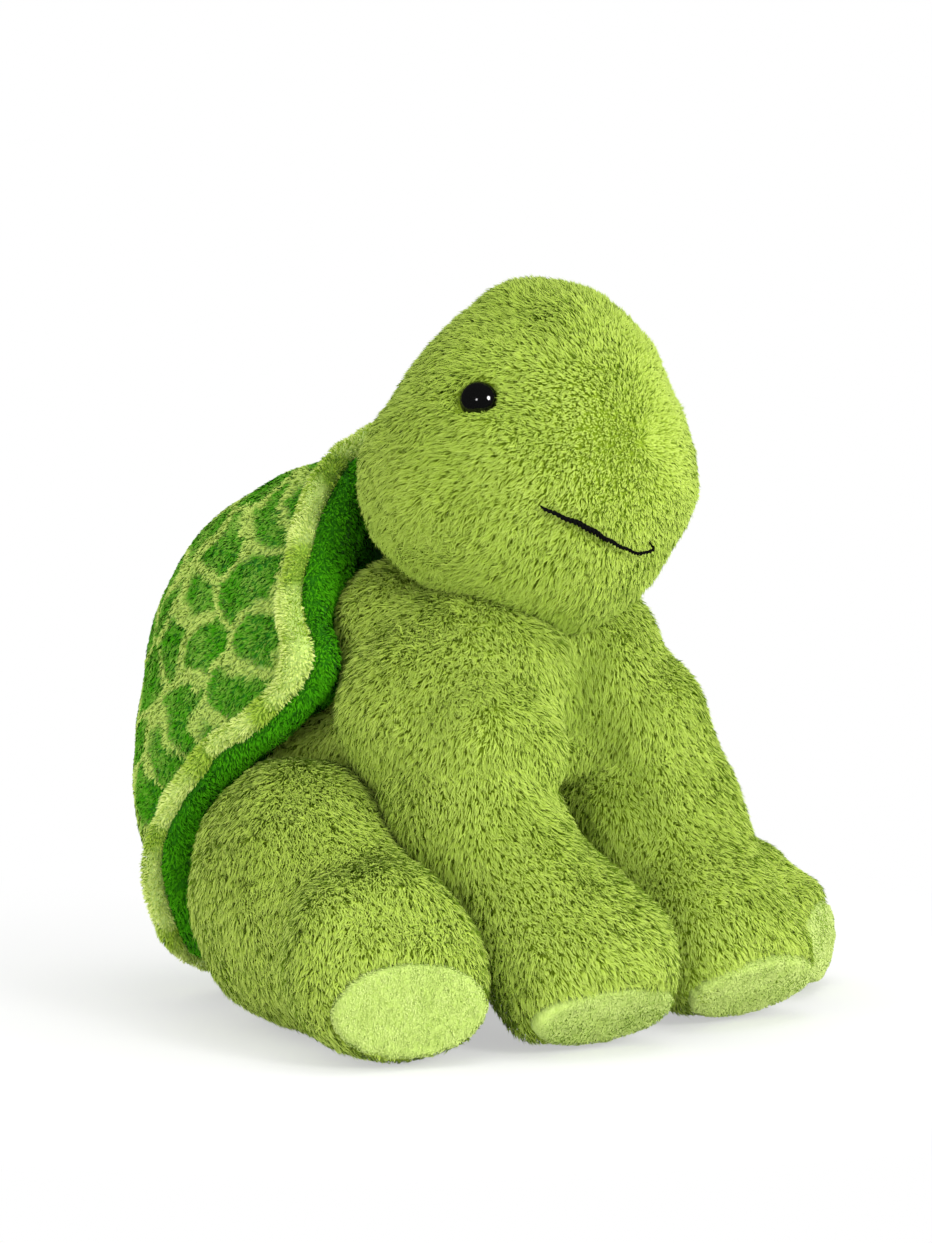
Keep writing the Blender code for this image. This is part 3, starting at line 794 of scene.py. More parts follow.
@dataclass(frozen=True)
class PrintFinish(NapFinish):
    """Cloth printed in two mottled colours, mixed by the piece's own print attribute.

    Args:
        vein: colour of the veins.
        blotch: colour of the patches.
    """

    vein: tuple = (0.40, 0.58, 0.13)
    blotch: tuple = (0.035, 0.26, 0.012)

    def build(self) -> bpy.types.Material:
        """Builds the material, which reads the attribute named print.

        Returns:
            The material.
        """
        made, shader = fresh_material(self.name)
        tree = made.node_tree
        height = self.nap(tree, shader)
        mark = tree.nodes.new("ShaderNodeAttribute")
        mark.attribute_name = "print"
        line = ramp(tree, ((0.0, self.vein), (1.0, self.blotch)))
        tree.links.new(mark.outputs["Fac"], line.inputs["Fac"])
        # Painted shade and light: the nap's height darkens the print in its hollows and lightens it
        # on its tops.
        shade = tree.nodes.new("ShaderNodeMapRange")
        set_inputs(shade, {"To Min": 0.75, "To Max": 1.2})
        tree.links.new(height, shade.inputs["Value"])
        mix = tree.nodes.new("ShaderNodeVectorMath")
        mix.operation = "SCALE"
        tree.links.new(line.outputs["Color"], mix.inputs[0])
        tree.links.new(shade.outputs["Result"], mix.inputs["Scale"])
        tree.links.new(mix.outputs["Vector"], shader.inputs["Base Color"])
        return made


@dataclass(frozen=True)
class PlasticFinish:
    """Moulded plastic with faint marks of handling.

    Args:
        name: name of the material.
        colour: of the plastic.
        roughness: of its surface.
        coat: strength of a clear coat.
        gloss: specular level.
    """

    name: str
    colour: tuple
    roughness: float
    coat: float = 0.0
    gloss: float = 0.5

    def build(self) -> bpy.types.Material:
        """Builds the material, whose roughness changes a little over the surface.

        Returns:
            The material.
        """
        made, shader = fresh_material(self.name)
        tree = made.node_tree
        place = tree.nodes.new("ShaderNodeTexCoord")
        marks = tree.nodes.new("ShaderNodeTexNoise")
        set_inputs(marks, {"Scale": 420, "Detail": 4})
        tree.links.new(place.outputs["Object"], marks.inputs["Vector"])
        line = tree.nodes.new("ShaderNodeMapRange")
        set_inputs(line, {"To Min": self.roughness * 0.7, "To Max": self.roughness * 1.5})
        tree.links.new(marks.outputs["Fac"], line.inputs["Value"])
        tree.links.new(line.outputs["Result"], shader.inputs["Roughness"])
        values = {
            "Base Color": (*self.colour, 1),
            "Coat Weight": self.coat,
            "Coat Roughness": 0.03,
            "Specular IOR Level": self.gloss,
        }
        set_inputs(shader, values)
        return made


# Strand colours run root, middle, tip: the darker roots are painted shade deep in the pile, the
# paler tips a painted highlight.
LIME_DULL = ((0.252, 0.382, 0.023), (0.305, 0.450, 0.034), (0.430, 0.590, 0.080))
LIME_BRIGHT = ((0.326, 0.475, 0.030), (0.430, 0.595, 0.054), (0.650, 0.810, 0.175))
LIME_STRANDS = StrandFinish("lime_strands", LIME_DULL, LIME_BRIGHT, sheen=0.12)
# A plain ground's two colours run from painted shade in the nap's hollows to painted light on its
# tops.
LIME_GROUND = NapFinish("lime_ground", (0.235, 0.362, 0.015), (0.320, 0.460, 0.026))
PALE_DULL = ((0.380, 0.530, 0.090), (0.500, 0.660, 0.140), (0.600, 0.750, 0.200))
PALE_BRIGHT = ((0.460, 0.620, 0.120), (0.640, 0.790, 0.220), (0.770, 0.900, 0.330))
PALE_STRANDS = StrandFinish("pale_strands", PALE_DULL, PALE_BRIGHT)
PALE_GROUND = NapFinish(
    "pale_ground", (0.420, 0.570, 0.110), (0.600, 0.760, 0.210), fineness=1400, bump=0.0002
)
PRINT_VEIN = ((0.300, 0.460, 0.050), (0.500, 0.670, 0.120), (0.620, 0.800, 0.200))
PRINT_BLOTCH = ((0.014, 0.150, 0.001), (0.040, 0.280, 0.002), (0.080, 0.390, 0.005))
PRINT_STRANDS = StrandFinish("print_strands", PRINT_VEIN, PRINT_BLOTCH, sheen=0.0, gloss=0.03)
PRINT_GROUND = PrintFinish("print_ground", fineness=1300, bump=0.0003)
ROLL_DULL = ((0.260, 0.440, 0.016), (0.380, 0.590, 0.035), (0.500, 0.700, 0.080))
ROLL_BRIGHT = ((0.520, 0.700, 0.090), (0.740, 0.900, 0.200), (0.900, 1.000, 0.380))
ROLL_STRANDS = StrandFinish("roll_strands", ROLL_DULL, ROLL_BRIGHT, sheen=0.12)
ROLL_GROUND = PrintFinish(
    "roll_ground", fineness=1300, bump=0.0003, vein=(0.30, 0.50, 0.05), blotch=(0.64, 0.82, 0.24)
)
DEEP_DULL = ((0.018, 0.160, 0.001), (0.040, 0.270, 0.002), (0.062, 0.350, 0.004))
DEEP_BRIGHT = ((0.030, 0.215, 0.001), (0.068, 0.380, 0.003), (0.115, 0.500, 0.008))
DEEP_STRANDS = StrandFinish("deep_strands", DEEP_DULL, DEEP_BRIGHT, sheen=0.02, gloss=0.05)
DEEP_GROUND = NapFinish(
    "deep_ground", (0.014, 0.140, 0.001), (0.038, 0.270, 0.002), fineness=1300, bump=0.0003
)
EYE_BLACK = PlasticFinish("eye_black", (0.002, 0.002, 0.002), roughness=0.05, gloss=0.8)
THREAD_BLACK = NapFinish(
    "thread_black", (0.002, 0.002, 0.002), (0.006, 0.006, 0.006), fineness=2600, bump=0.0002,
    roughness=0.7, sheen=0.0, gloss=0.05,
)
WASHER_WHITE = PlasticFinish("washer_white", (0.78, 0.78, 0.75), roughness=0.4)
FINISHES = (
    LIME_STRANDS, LIME_GROUND, PALE_STRANDS, PALE_GROUND, PRINT_STRANDS, PRINT_GROUND,
    ROLL_STRANDS, ROLL_GROUND, DEEP_STRANDS, DEEP_GROUND, EYE_BLACK, THREAD_BLACK, WASHER_WHITE,
)


# Pile


@dataclass(frozen=True)
class Pile:
    """How a pile stands.

    Args:
        length: of a strand, in metres.
        density: strands per square millimetre.
        width: of a strand at its middle, in metres.
        lean: angles from upright at the foot and at the tip, in degrees.
        tuft: distance between tufts, in metres.
        gather: how far a strand's tip goes to its tuft, as a share.
        stray: how far single strands stray from the comb's way.
        swirl: how far the comb's way wanders.
        apart: how far whole tufts stray from it.
        fold: share of the surface's own normal in the strands' shading.
        tint: how much the tone changes from tuft to tuft.
        grain: how much it changes from strand to strand.
    """

    length: float
    density: float
    width: float = 0.0007
    lean: tuple[float, float] = (22.0, 68.0)
    tuft: float = 0.0022
    gather: float = 0.6
    stray: float = 0.35
    swirl: float = 0.6
    apart: float = 0.22
    fold: float = 0.6
    tint: float = 0.15
    grain: float = 0.10


@dataclass
class Ground:
    """A base cloth with what steers its pile, each one row per vertex.

    Args:
        made: the cloth's object.
        comb: the way the pile is combed.
        height: share of the full length.
        tone: added to the strands' tone, from -1 to 1; on the stuffed parts it also holds painted
            light and shade.
        mottle: a print that takes the place of the tone.
        thick: share of the full density, or nothing where it is full all over.
    """

    made: bpy.types.Object
    comb: Points
    height: Points
    tone: Points
    mottle: "Mottle | None" = None
    thick: Points | None = None


@dataclass
class PileMaker:
    """Grows strands on a ground.

    Args:
        pile: how the pile stands.
        seed: start of the random draws.
        map_rows: height of a strand's foot and tip on its map.
    """

    pile: Pile
    seed: int
    map_rows: tuple[float, float] = (0.02, 0.98)

    def roots(self, ground: Ground, rng: np.random.Generator) -> dict[str, Points]:
        """Scatters the strands' feet evenly over the cloth.

        Args:
            ground: the cloth.
            rng: source of the random draws.

        Returns:
            Place, normal, comb, height and tone of each foot.
        """
        mesh = ground.made.data
        points, normals, corners = points_of(mesh), normals_of(mesh), triangles_of(mesh)
        a, b, c = (points[corners[:, k]] for k in range(3))
        areas = np.linalg.norm(np.cross(b - a, c - a), axis=1) / 2
        areas = areas * (ground.height[corners].mean(1) > BARE_SHARE)
        if ground.thick is not None:
            areas = areas * ground.thick[corners].mean(1)
        count = int(areas.sum() * 1e6 * self.pile.density)
        chosen = rng.choice(len(corners), count, p=areas / areas.sum())
        first, second = rng.random(count), rng.random(count)
        over = first + second > 1
        first[over], second[over] = 1 - first[over], 1 - second[over]
        shares = np.stack([1 - first - second, first, second], 1)

        def read(values: Points) -> Points:
            """Reads a value of the cloth at each foot.

            Args:
                values: one row per vertex.

            Returns:
                One row per foot.
            """
            rows = values[corners[chosen]]
            return np.einsum("nk,nk...->n...", shares, rows)

        place = read(points)
        return {
            "place": place,
            "normal": unit(read(normals)),
            "comb": read(ground.comb),
            "height": read(ground.height),
            "tone": ground.mottle.tone(place) if ground.mottle else read(ground.tone),
        }

    def grow(self, ground: Ground, name: str, most: int = 96000) -> list[bpy.types.Object]:
        """Grows the whole pile.

        Args:
            ground: the cloth that it grows from.
            name: start of the pieces' names.
            most: strands in one piece.

        Returns:
            The pieces of pile.
        """
        rng = np.random.default_rng(self.seed)
        pile = self.pile
        feet = self.roots(ground, rng)
        place, normal = feet["place"], feet["normal"]
        count = len(place)
        tuft, middle = self.tufts(place)
        own = rng.normal(size=(len(middle), 3))
        tuft_tone = rng.normal(size=len(middle))
        tuft_length = rng.uniform(0.85, 1.12, len(middle))
        way = self.ways(feet, own[tuft], rng)
        length = pile.length * feet["height"] * tuft_length[tuft]
        length = length * rng.uniform(0.8, 1.1, count)
        strands = self.strands(feet, way, length, middle[tuft], rng)
        tone = 0.5 + pile.tint * tuft_tone[tuft] + pile.grain * rng.normal(size=count)
        tone = np.clip(tone + 0.5 * feet["tone"], 0, 0.999)
        shading = self.shading(strands, normal)
        pieces = []
        shares = math.ceil(count / most)
        order = np.argsort(ground_side(place, shares), kind="stable")
        for k, chosen in enumerate(np.array_split(order, shares)):
            label = name if shares == 1 else f"{name}_{k + 1}"
            pieces.append(self.piece(label, strands[chosen], tone[chosen], shading[chosen]))
        return pieces

    def tufts(self, place: Points) -> tuple[Points, Points]:
        """Gathers the strands in tufts, whose bounds wander.

        Args:
            place: the strands' feet.

        Returns:
            Each strand's tuft, and each tuft's middle.
        """
        size = self.pile.tuft
        warp = WaveField(size * 3.1, self.seed + 1).vectors(place) * size * 0.5
        cells = np.floor((place + warp) / size).astype(np.int64)
        cells -= cells.min(0)
        keys = (cells[:, 0] * (cells[:, 1].max() + 1) + cells[:, 1]) * (cells[:, 2].max() + 1)
        keys += cells[:, 2]
        _, tuft = np.unique(keys, return_inverse=True)
        count = tuft.max() + 1
        strands = np.bincount(tuft, minlength=count)
        sums = [np.bincount(tuft, place[:, k], count) / strands for k in range(3)]
        return tuft, np.stack(sums, 1)

    def ways(self, feet: dict[str, Points], own: Points, rng: np.random.Generator) -> Points:
        """The way that each strand lies along the cloth.

        Args:
            feet: of the strands.
            own: each strand's share in its tuft's straying.
            rng: source of the random draws.

        Returns:
            One way per strand, square to the cloth's normal.
        """
        pile, place, normal = self.pile, feet["place"], feet["normal"]
        wander = WaveField(0.032, self.seed + 2).vectors(place)
        wander += 0.35 * WaveField(0.013, self.seed + 3).vectors(place)
        way = unit(feet["comb"]) + pile.swirl * wander + pile.apart * own
        way += pile.stray * rng.normal(size=(len(place), 3))
        return unit(way - normal * (way * normal).sum(1, keepdims=True))

    def strands(
        self,
        feet: dict[str, Points],
        way: Points,
        length: Points,
        middle: Points,
        rng: np.random.Generator,
    ) -> Points:
        """Bends each strand from its foot over its knee to its tip.

        Args:
            feet: of the strands.
            way: the way that each lies along the cloth.
            length: of each.
            middle: of each strand's tuft.
            rng: source of the random draws.

        Returns:
            Foot, both sides of the knee and tip of each strand.
        """
        pile, place, normal = self.pile, feet["place"], feet["normal"]
        count = len(place)
        foot_lean, tip_lean = (math.radians(angle) for angle in pile.lean)
        spread = rng.normal(0, 0.10, (2, count))
        low = np.abs(foot_lean + spread[0])[:, None]
        high = (tip_lean + spread[1])[:, None]
        first = normal * np.cos(low) + way * np.sin(low)
        second = normal * np.cos(high) + way * np.sin(high)
        gather = (middle - place) * pile.gather
        gather -= normal * (gather * normal).sum(1, keepdims=True)
        half = length[:, None] / 2
        knee = place + first * half + 0.35 * gather
        tip = knee + second * half + 0.65 * gather
        across = unit(np.cross(unit(tip - place), normal) + 0.6 * rng.normal(size=(count, 3)))
        widths = pile.width * rng.uniform(0.7, 1.2, count)[:, None]
        side = across * widths * 0.5
        strands = np.stack([place, knee + side, knee - side, tip], 1)
        low_limit = FLOOR_CLEARANCE + 0.0012 * rng.random((count, 1))
        strands[:, :, 2] = np.maximum(strands[:, :, 2], low_limit)
        return strands

    def shading(self, strands: Points, normal: Points) -> Points:
        """Shading normals of the strands, between their own and the cloth's.

        Args:
            strands: their four points.
            normal: the cloth's normal at each foot.

        Returns:
            One normal per point of each strand.
        """
        own = unit(np.cross(strands[:, 1] - strands[:, 2], strands[:, 3] - strands[:, 0]))
        own *= np.where((own * normal).sum(1, keepdims=True) < 0, -1, 1)
        mixed = unit(normal * self.pile.fold + own * (1 - self.pile.fold))
        return np.repeat(mixed[:, None, :], 4, 1)

    def piece(self, name: str, strands: Points, tone: Points, shading: Points) -> bpy.types.Object:
        """One piece of pile as a mesh with its map.

        Args:
            name: name of the piece.
            strands: the four points of each strand.
            tone: one number per strand, from 0 to 1.
            shading: the normal at each point.

        Returns:
            The new object.
        """
        count = len(strands)
        mesh = bpy.data.meshes.new(name)
        mesh.vertices.add(count * 4)
        mesh.vertices.foreach_set("co", strands.astype(np.float32).ravel())
        base = np.arange(count)[:, None] * 4
        facing = np.cross(strands[:, 1] - strands[:, 0], strands[:, 2] - strands[:, 0])
        turn = (facing * shading[:, 0]).sum(1) < 0
        straight, turned = np.array([0, 1, 2, 2, 1, 3]), np.array([0, 2, 1, 1, 2, 3])
        loops = base + np.where(turn[:, None], turned, straight)
        mesh.loops.add(count * 6)
        mesh.loops.foreach_set("vertex_index", loops.astype(np.int32).ravel())
        mesh.polygons.add(count * 2)
        mesh.polygons.foreach_set("loop_start", np.arange(count * 2, dtype=np.int32) * 3)
        mesh.polygons.foreach_set("use_smooth", np.ones(count * 2, bool))
        column = np.floor(tone * TONES)[:, None]
        left, middle, right = ((column + share) / TONES for share in (0.12, 0.5, 0.88))
        low, high = self.map_rows
        knee = (low + high) / 2
        across = np.concatenate([middle, left, right, right, left, middle], 1)
        up = np.tile(np.array([low, knee, knee, knee, knee, high]), (count, 1))
        layer = mesh.uv_layers.new(name=PILE_MAP)
        places = np.stack([across, up], 2).astype(np.float32)
        layer.data.foreach_set("uv", places.ravel())
        mesh.update()
        mesh.validate()
        mesh.normals_split_custom_set_from_vertices(shading.reshape(-1, 3).astype(np.float32))
        return new_object(name, mesh)


def ground_side(place: Points, shares: int) -> Points:
    """A number by which a pile is split into pieces that lie apart.

    Args:
        place: the strands' feet.
        shares: how many pieces there will be.

    Returns:
        One number per strand.
    """
    if shares == 1:
        return np.zeros(len(place))
    centre = np.median(place, 0)
    return np.arctan2(place[:, 1] - centre[1], place[:, 0] - centre[0])


@dataclass(frozen=True)
class Mottle:
    """Rounded patches of one tone between veins of another.

    Args:
        middles: middle of each patch.
        sizes: how much larger each patch is than an even share, in metres.
        vein: width of the veins.
        seed: start of its random draws.
        wobble: how far the veins stray from straight, in metres.
    """

    middles: Points
    sizes: Points
    vein: float
    seed: int
    wobble: float = 0.0035

    @classmethod
    def over(cls, points: Points, spacing: float, vein: float, seed: int) -> "Mottle":
        """Scatters patches over a surface.

        Args:
            points: places on the surface.
            spacing: least distance between the patches' middles.
            vein: width of the veins.
            seed: start of the random draws.

        Returns:
            The mottle.
        """
        rng = np.random.default_rng(seed)
        left = points[rng.permutation(len(points))]
        chosen = []
        while len(left):
            chosen.append(left[0])
            reach = spacing * rng.uniform(0.8, 1.35)
            left = left[np.linalg.norm(left - left[0], axis=1) > reach]
        return cls(np.array(chosen), rng.uniform(-0.003, 0.003, len(chosen)), vein, seed)

    def patch(self, points: Points) -> Points:
        """Where the patches lie.

        Args:
            points: places on the surface.

        Returns:
            Share of the patches' tone at each point, from 0 in the veins to 1.
        """
        moved = points + self.wobble * WaveField(0.035, self.seed + 1).vectors(points)
        moved = moved + 0.35 * self.wobble * WaveField(0.010, self.seed + 2).vectors(points)
        first = np.full(len(points), 1e9)
        second = np.full(len(points), 1e9)
        for middle, size in zip(self.middles, self.sizes):
            gap = np.linalg.norm(moved - middle, axis=1) - size
            second = np.minimum(second, np.maximum(first, gap))
            first = np.minimum(first, gap)
        width = self.vein * (1 + 0.35 * WaveField(0.03, self.seed + 3).value(points))
        return ease(second - first, 0.45 * width, 1.7 * width)

    def tone(self, points: Points) -> Points:
        """Tone of the print, with a soft change inside the patches.

        Args:
            points: places on the surface.

        Returns:
            One tone per point, from -1 to 1.
        """
        inside = self.patch(points)
        soft = 0.16 * WaveField(0.022, self.seed + 4).value(points)
        soft += 0.10 * WaveField(0.007, self.seed + 5).value(points)
        return 2 * inside - 1 - (0.28 + soft) * inside + 0.5 * soft * (1 - inside)


# Stuffed parts


@dataclass
class StuffedPart:
    """A stuffed part: its base cloth and the long pile on it.

    Args:
        name: start of its pieces' names.
        body: the CAD body that it rides on.
        nodes: the CAD nodes that it stands for.
        pile: how its pile stands.
        seed: start of its random draws.
        voxel: size of the cloth's faces.
        rounds: how much it is smoothed.
        sink: how deep the cloth lies under the solid's surface.
        cell: size of the faces in its simulation.
        most: how far a point may move in it.
        lump: width of the cloth's lumps, and lump_height their height.
        clear: room under which no pile grows.
        reach: room that the pile needs to stand at its full length.
        pressed: share of its length that the pile keeps under the seat.
        balls: middles and radii of stuffing that fills it out.
        fillet: radius with which its hollows are filled.
        dents: middle, radius and depth of each dent.
        bare: trees that the pile keeps clear of, each with two distances.
        cloth: the base cloth, once it is made.
    """

    name: str
    body: str
    nodes: tuple[str, ...]
    pile: Pile
    seed: int
    voxel: float = 0.0030
    rounds: int = 26
    sink: float = 0.0026
    cell: float = 0.006
    most: float = 0.0024
    lump: float = 0.045
    lump_height: float = 0.0009
    clear: float = 0.0012
    reach: float = 0.0085
    pressed: float = 0.30
    balls: tuple = ()
    fillet: float = 0.0
    dents: tuple = ()
    bare: list = field(default_factory=list)
    cloth: bpy.types.Object | None = None

    def covers(self, other: "StuffedPart") -> bool:
        """Whether this part's cloth lies over the other's, as the torso's over the shoulders."""
        return self.name == "torso" and other.name.startswith("foreleg")

    def comb(self, points: Points, normals: Points) -> Points:
        """The way the pile is combed at each point."""
        return np.tile(np.array([0.0, 0.15, -1.0]), (len(points), 1))

    def trim(self, points: Points, normals: Points) -> Points:
        """Share of the full length at each point."""
        return np.ones(len(points))

    def slim(self, points: Points) -> Points:
        """How much deeper the cloth lies at each point."""
        return np.zeros(len(points))

    def posed(self, points: Points) -> Points:
        """The points after the part's own turn."""
        return points

    def shade(self, points: Points, normals: Points) -> Points:
        """Change of tone at each point."""
        return 0.22 * WaveField(0.035, self.seed + 7).value(points)

    def form(self) -> None:
        """Makes the base cloth."""
        made = soft_copy(
            f"{self.name}_cloth", self.nodes, self.voxel, self.rounds, self.balls, self.fillet
        )
        inflate(made, self.cell, self.most)
        points, normals = points_of(made.data), normals_of(made.data)
        lumps = WaveField(self.lump, self.seed + 5).value(points) * self.lump_height
        moved = points + normals * (lumps - self.sink - self.slim(points))[:, None]
        moved = self.posed(dented(moved, normals, self.dents))
        moved[:, 2] = np.maximum(moved[:, 2], 2 * FLOOR_CLEARANCE)
        place_points(made.data, moved)
        self.cloth = made

    def dress(self, neighbours: BVHTree, everything: BVHTree, finishes: Finishes) -> None:
        """Grows the pile and parents both to the body's empty.

        Args:
            neighbours: surfaces that the pile keeps clear of.
            everything: surfaces that hide pile.
            finishes: built materials by name.
        """
        mesh = self.cloth.data
        points, normals = points_of(mesh), normals_of(mesh)
        room = self.room(points, normals, neighbours)
        ends = edges_of(mesh)
        room = spread_over(room, ends, 2)
        height = self.trim(points, normals) * ease(room, self.clear, self.reach)
        free = ease(points[:, 2] + 0.006 * normals[:, 2], -0.004, 0.006)
        height = height * (self.pressed + (1 - self.pressed) * free)
        for tree, inner, outer in self.bare:
            height = height * ease(distances(tree, points, outer), inner, outer)
        # The tone darkens where another part is close: painted shade in the creases between parts.
        ground = Ground(
            self.cloth,
            self.comb(points, normals),
            height,
            self.shade(points, normals) - 0.6 * (1 - ease(room, 0.0, 0.012)),
            thick=spread_over(thickness(points, normals, everything), ends, 2),
        )
        pieces = PileMaker(self.pile, self.seed).grow(ground, f"{self.name}_pile")
        for piece in pieces:
            piece.data.materials.append(finishes["lime_strands"])
            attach(piece, self.body)
        self.cloth.data.materials.append(finishes["lime_ground"])
        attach(self.cloth, self.body)
        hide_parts(*self.nodes)
        strands = sum(len(piece.data.polygons) for piece in pieces) // 2
        LOG.info("%s: %d pieces of pile, %d strands", self.name, len(pieces), strands)

    def room(self, points: Points, normals: Points, neighbours: BVHTree) -> Points:
        """Free distance over the cloth.

        Args:
            points: of the cloth.
            normals: of the cloth.
            neighbours: surfaces that the pile keeps clear of.

        Returns:
            One distance per point, up to a little over the pile's reach.
        """
        found = np.full(len(points), self.reach + 0.004)
        for k, (point, normal) in enumerate(zip(points.tolist(), normals.tolist())):
            start, way = Vector(point), Vector(normal)
            _, facing, _, gap = neighbours.ray_cast(start, way, 4 * self.reach)
            if gap is not None and facing.dot(way) > 0:
                found[k] = 0
            elif gap is not None and gap < found[k]:
                found[k] = gap
        return found


@dataclass
class Head(StuffedPart):
    """The head, with its pile combed back and down from the nose.

    Args:
        nose: point that the pile is combed away from.
        shadows: place, reach and strength of painted shadows beside the eye, for the left side.
    """

    nose: tuple[float, float, float] = (0.0, -0.138, 0.240)
    shadows: tuple = (
        ((0.0520, -0.1010, 0.2700), 0.0050, 1.6),
        ((0.0592, -0.0923, 0.2606), 0.0105, 0.7),
    )

    def comb(self, points: Points, normals: Points) -> Points:
        """Away from the nose, and down over the jowls."""
        away = unit(points - np.array(self.nose))
        return away + np.array([0.0, 0.1, -0.55])

    def shade(self, points: Points, normals: Points) -> Points:
        """Painted light over the nose, painted shade away from it and beside the eyes.

        Args:
            points: of the cloth.
            normals: of the cloth.

        Returns:
            One change of tone per point.
        """
        near = np.linalg.norm(points - np.array(self.nose), axis=1)
        tone = super().shade(points, normals) + 0.35 - 0.85 * ease(near, 0.03, 0.09)
        for side in Side:
            for place, reach, strength in self.shadows:
                middle = np.array(place) * (side.value, 1, 1)
                gap = np.linalg.norm(points - middle, axis=1) / reach
                tone -= strength * np.exp(-gap * gap)
        return tone

    def trim(self, points: Points, normals: Points) -> Points:
        """Shorter pile over the nose."""
        near = np.linalg.norm(points - np.array(self.nose), axis=1)
        return 0.46 + 0.54 * ease(near, 0.015, 0.080)


@dataclass
class Limb(StuffedPart):
    """A leg, with its pile combed along it to the foot.

    Args:
        line: the leg's middle line, which its pile follows.
        down: how much the comb's way turns down.
        reach_of_line: how far a stretch of the line steers the comb.
        shoulder_slim: how much deeper the shoulder lies, which begins between shoulder_levels.
        inner_slim: share by which its inner side, up to inner_reach, lies deeper still.
        turn: angle by which the foot turns about an upright axis, in degrees.
        pivot: place of that axis.
        turn_levels: heights between which the turn fades out.
        sag: share by which the shank is lower.
    """

    line: tuple = ()
    down: float = 0.45
    reach_of_line: float = 0.022
    shoulder_slim: float = 0.0
    shoulder_levels: tuple[float, float] = (0.085, 0.120)
    inner_slim: float = 1.4
    inner_reach: tuple[float, float] = (0.012, 0.032)
    turn: float = 0.0
    pivot: tuple[float, float] = (0.0, 0.0)
    turn_levels: tuple[float, float] = (0.045, 0.090)
    sag: float = 0.0

    def comb(self, points: Points, normals: Points) -> Points:
        """Along the leg's line, evened out between its stretches.

        Args:
            points: of the cloth.
            normals: of the cloth.

        Returns:
            One way per point.
        """
        knots = np.array(self.line)
        way = np.zeros_like(points)
        for start, end in zip(knots, knots[1:]):
            run = end - start
            share = np.clip(((points - start) @ run) / (run @ run), 0, 1)[:, None]
            gap = np.linalg.norm(points - (start + share * run), axis=1) / self.reach_of_line
            way += (run / np.linalg.norm(run)) * np.exp(-gap)[:, None]
        return unit(way) + np.array([0.0, 0.0, -self.down])

    def shade(self, points: Points, normals: Points) -> Points:
        """Paler toward the foot, as painted light."""
        return super().shade(points, normals) + 0.5 * (1 - ease(points[:, 2], 0.035, 0.085))

    def slim(self, points: Points) -> Points:
        """The shoulder lies deeper, under the torso's cloth, and most of all on its inner side.

        Args:
            points: of the cloth.

        Returns:
            One depth per point.
        """
        high = ease(points[:, 2], *self.shoulder_levels)
        inside = 1 - ease(np.abs(points[:, 0]), *self.inner_reach)
        return self.shoulder_slim * high * (1 + self.inner_slim * inside)

    def posed(self, points: Points) -> Points:
        """The foot turns a little about an upright axis, and the shank sags.

        Args:
            points: of the cloth or of the sole.

        Returns:
            The new points.
        """
        share = 1 - ease(points[:, 2], *self.turn_levels)
        angle = math.radians(self.turn) * share
        x, y = points[:, 0] - self.pivot[0], points[:, 1] - self.pivot[1]
        turned = points.copy()
        low = ease(-points[:, 1], 0.0, 0.05) * (1 - 0.55 * ease(-points[:, 1], 0.09, 0.14))
        turned[:, 2] *= 1 - self.sag * low
        turned[:, 0] = self.pivot[0] + x * np.cos(angle) - y * np.sin(angle)
        turned[:, 1] = self.pivot[1] + x * np.sin(angle) + y * np.cos(angle)
        return turned


# Shell


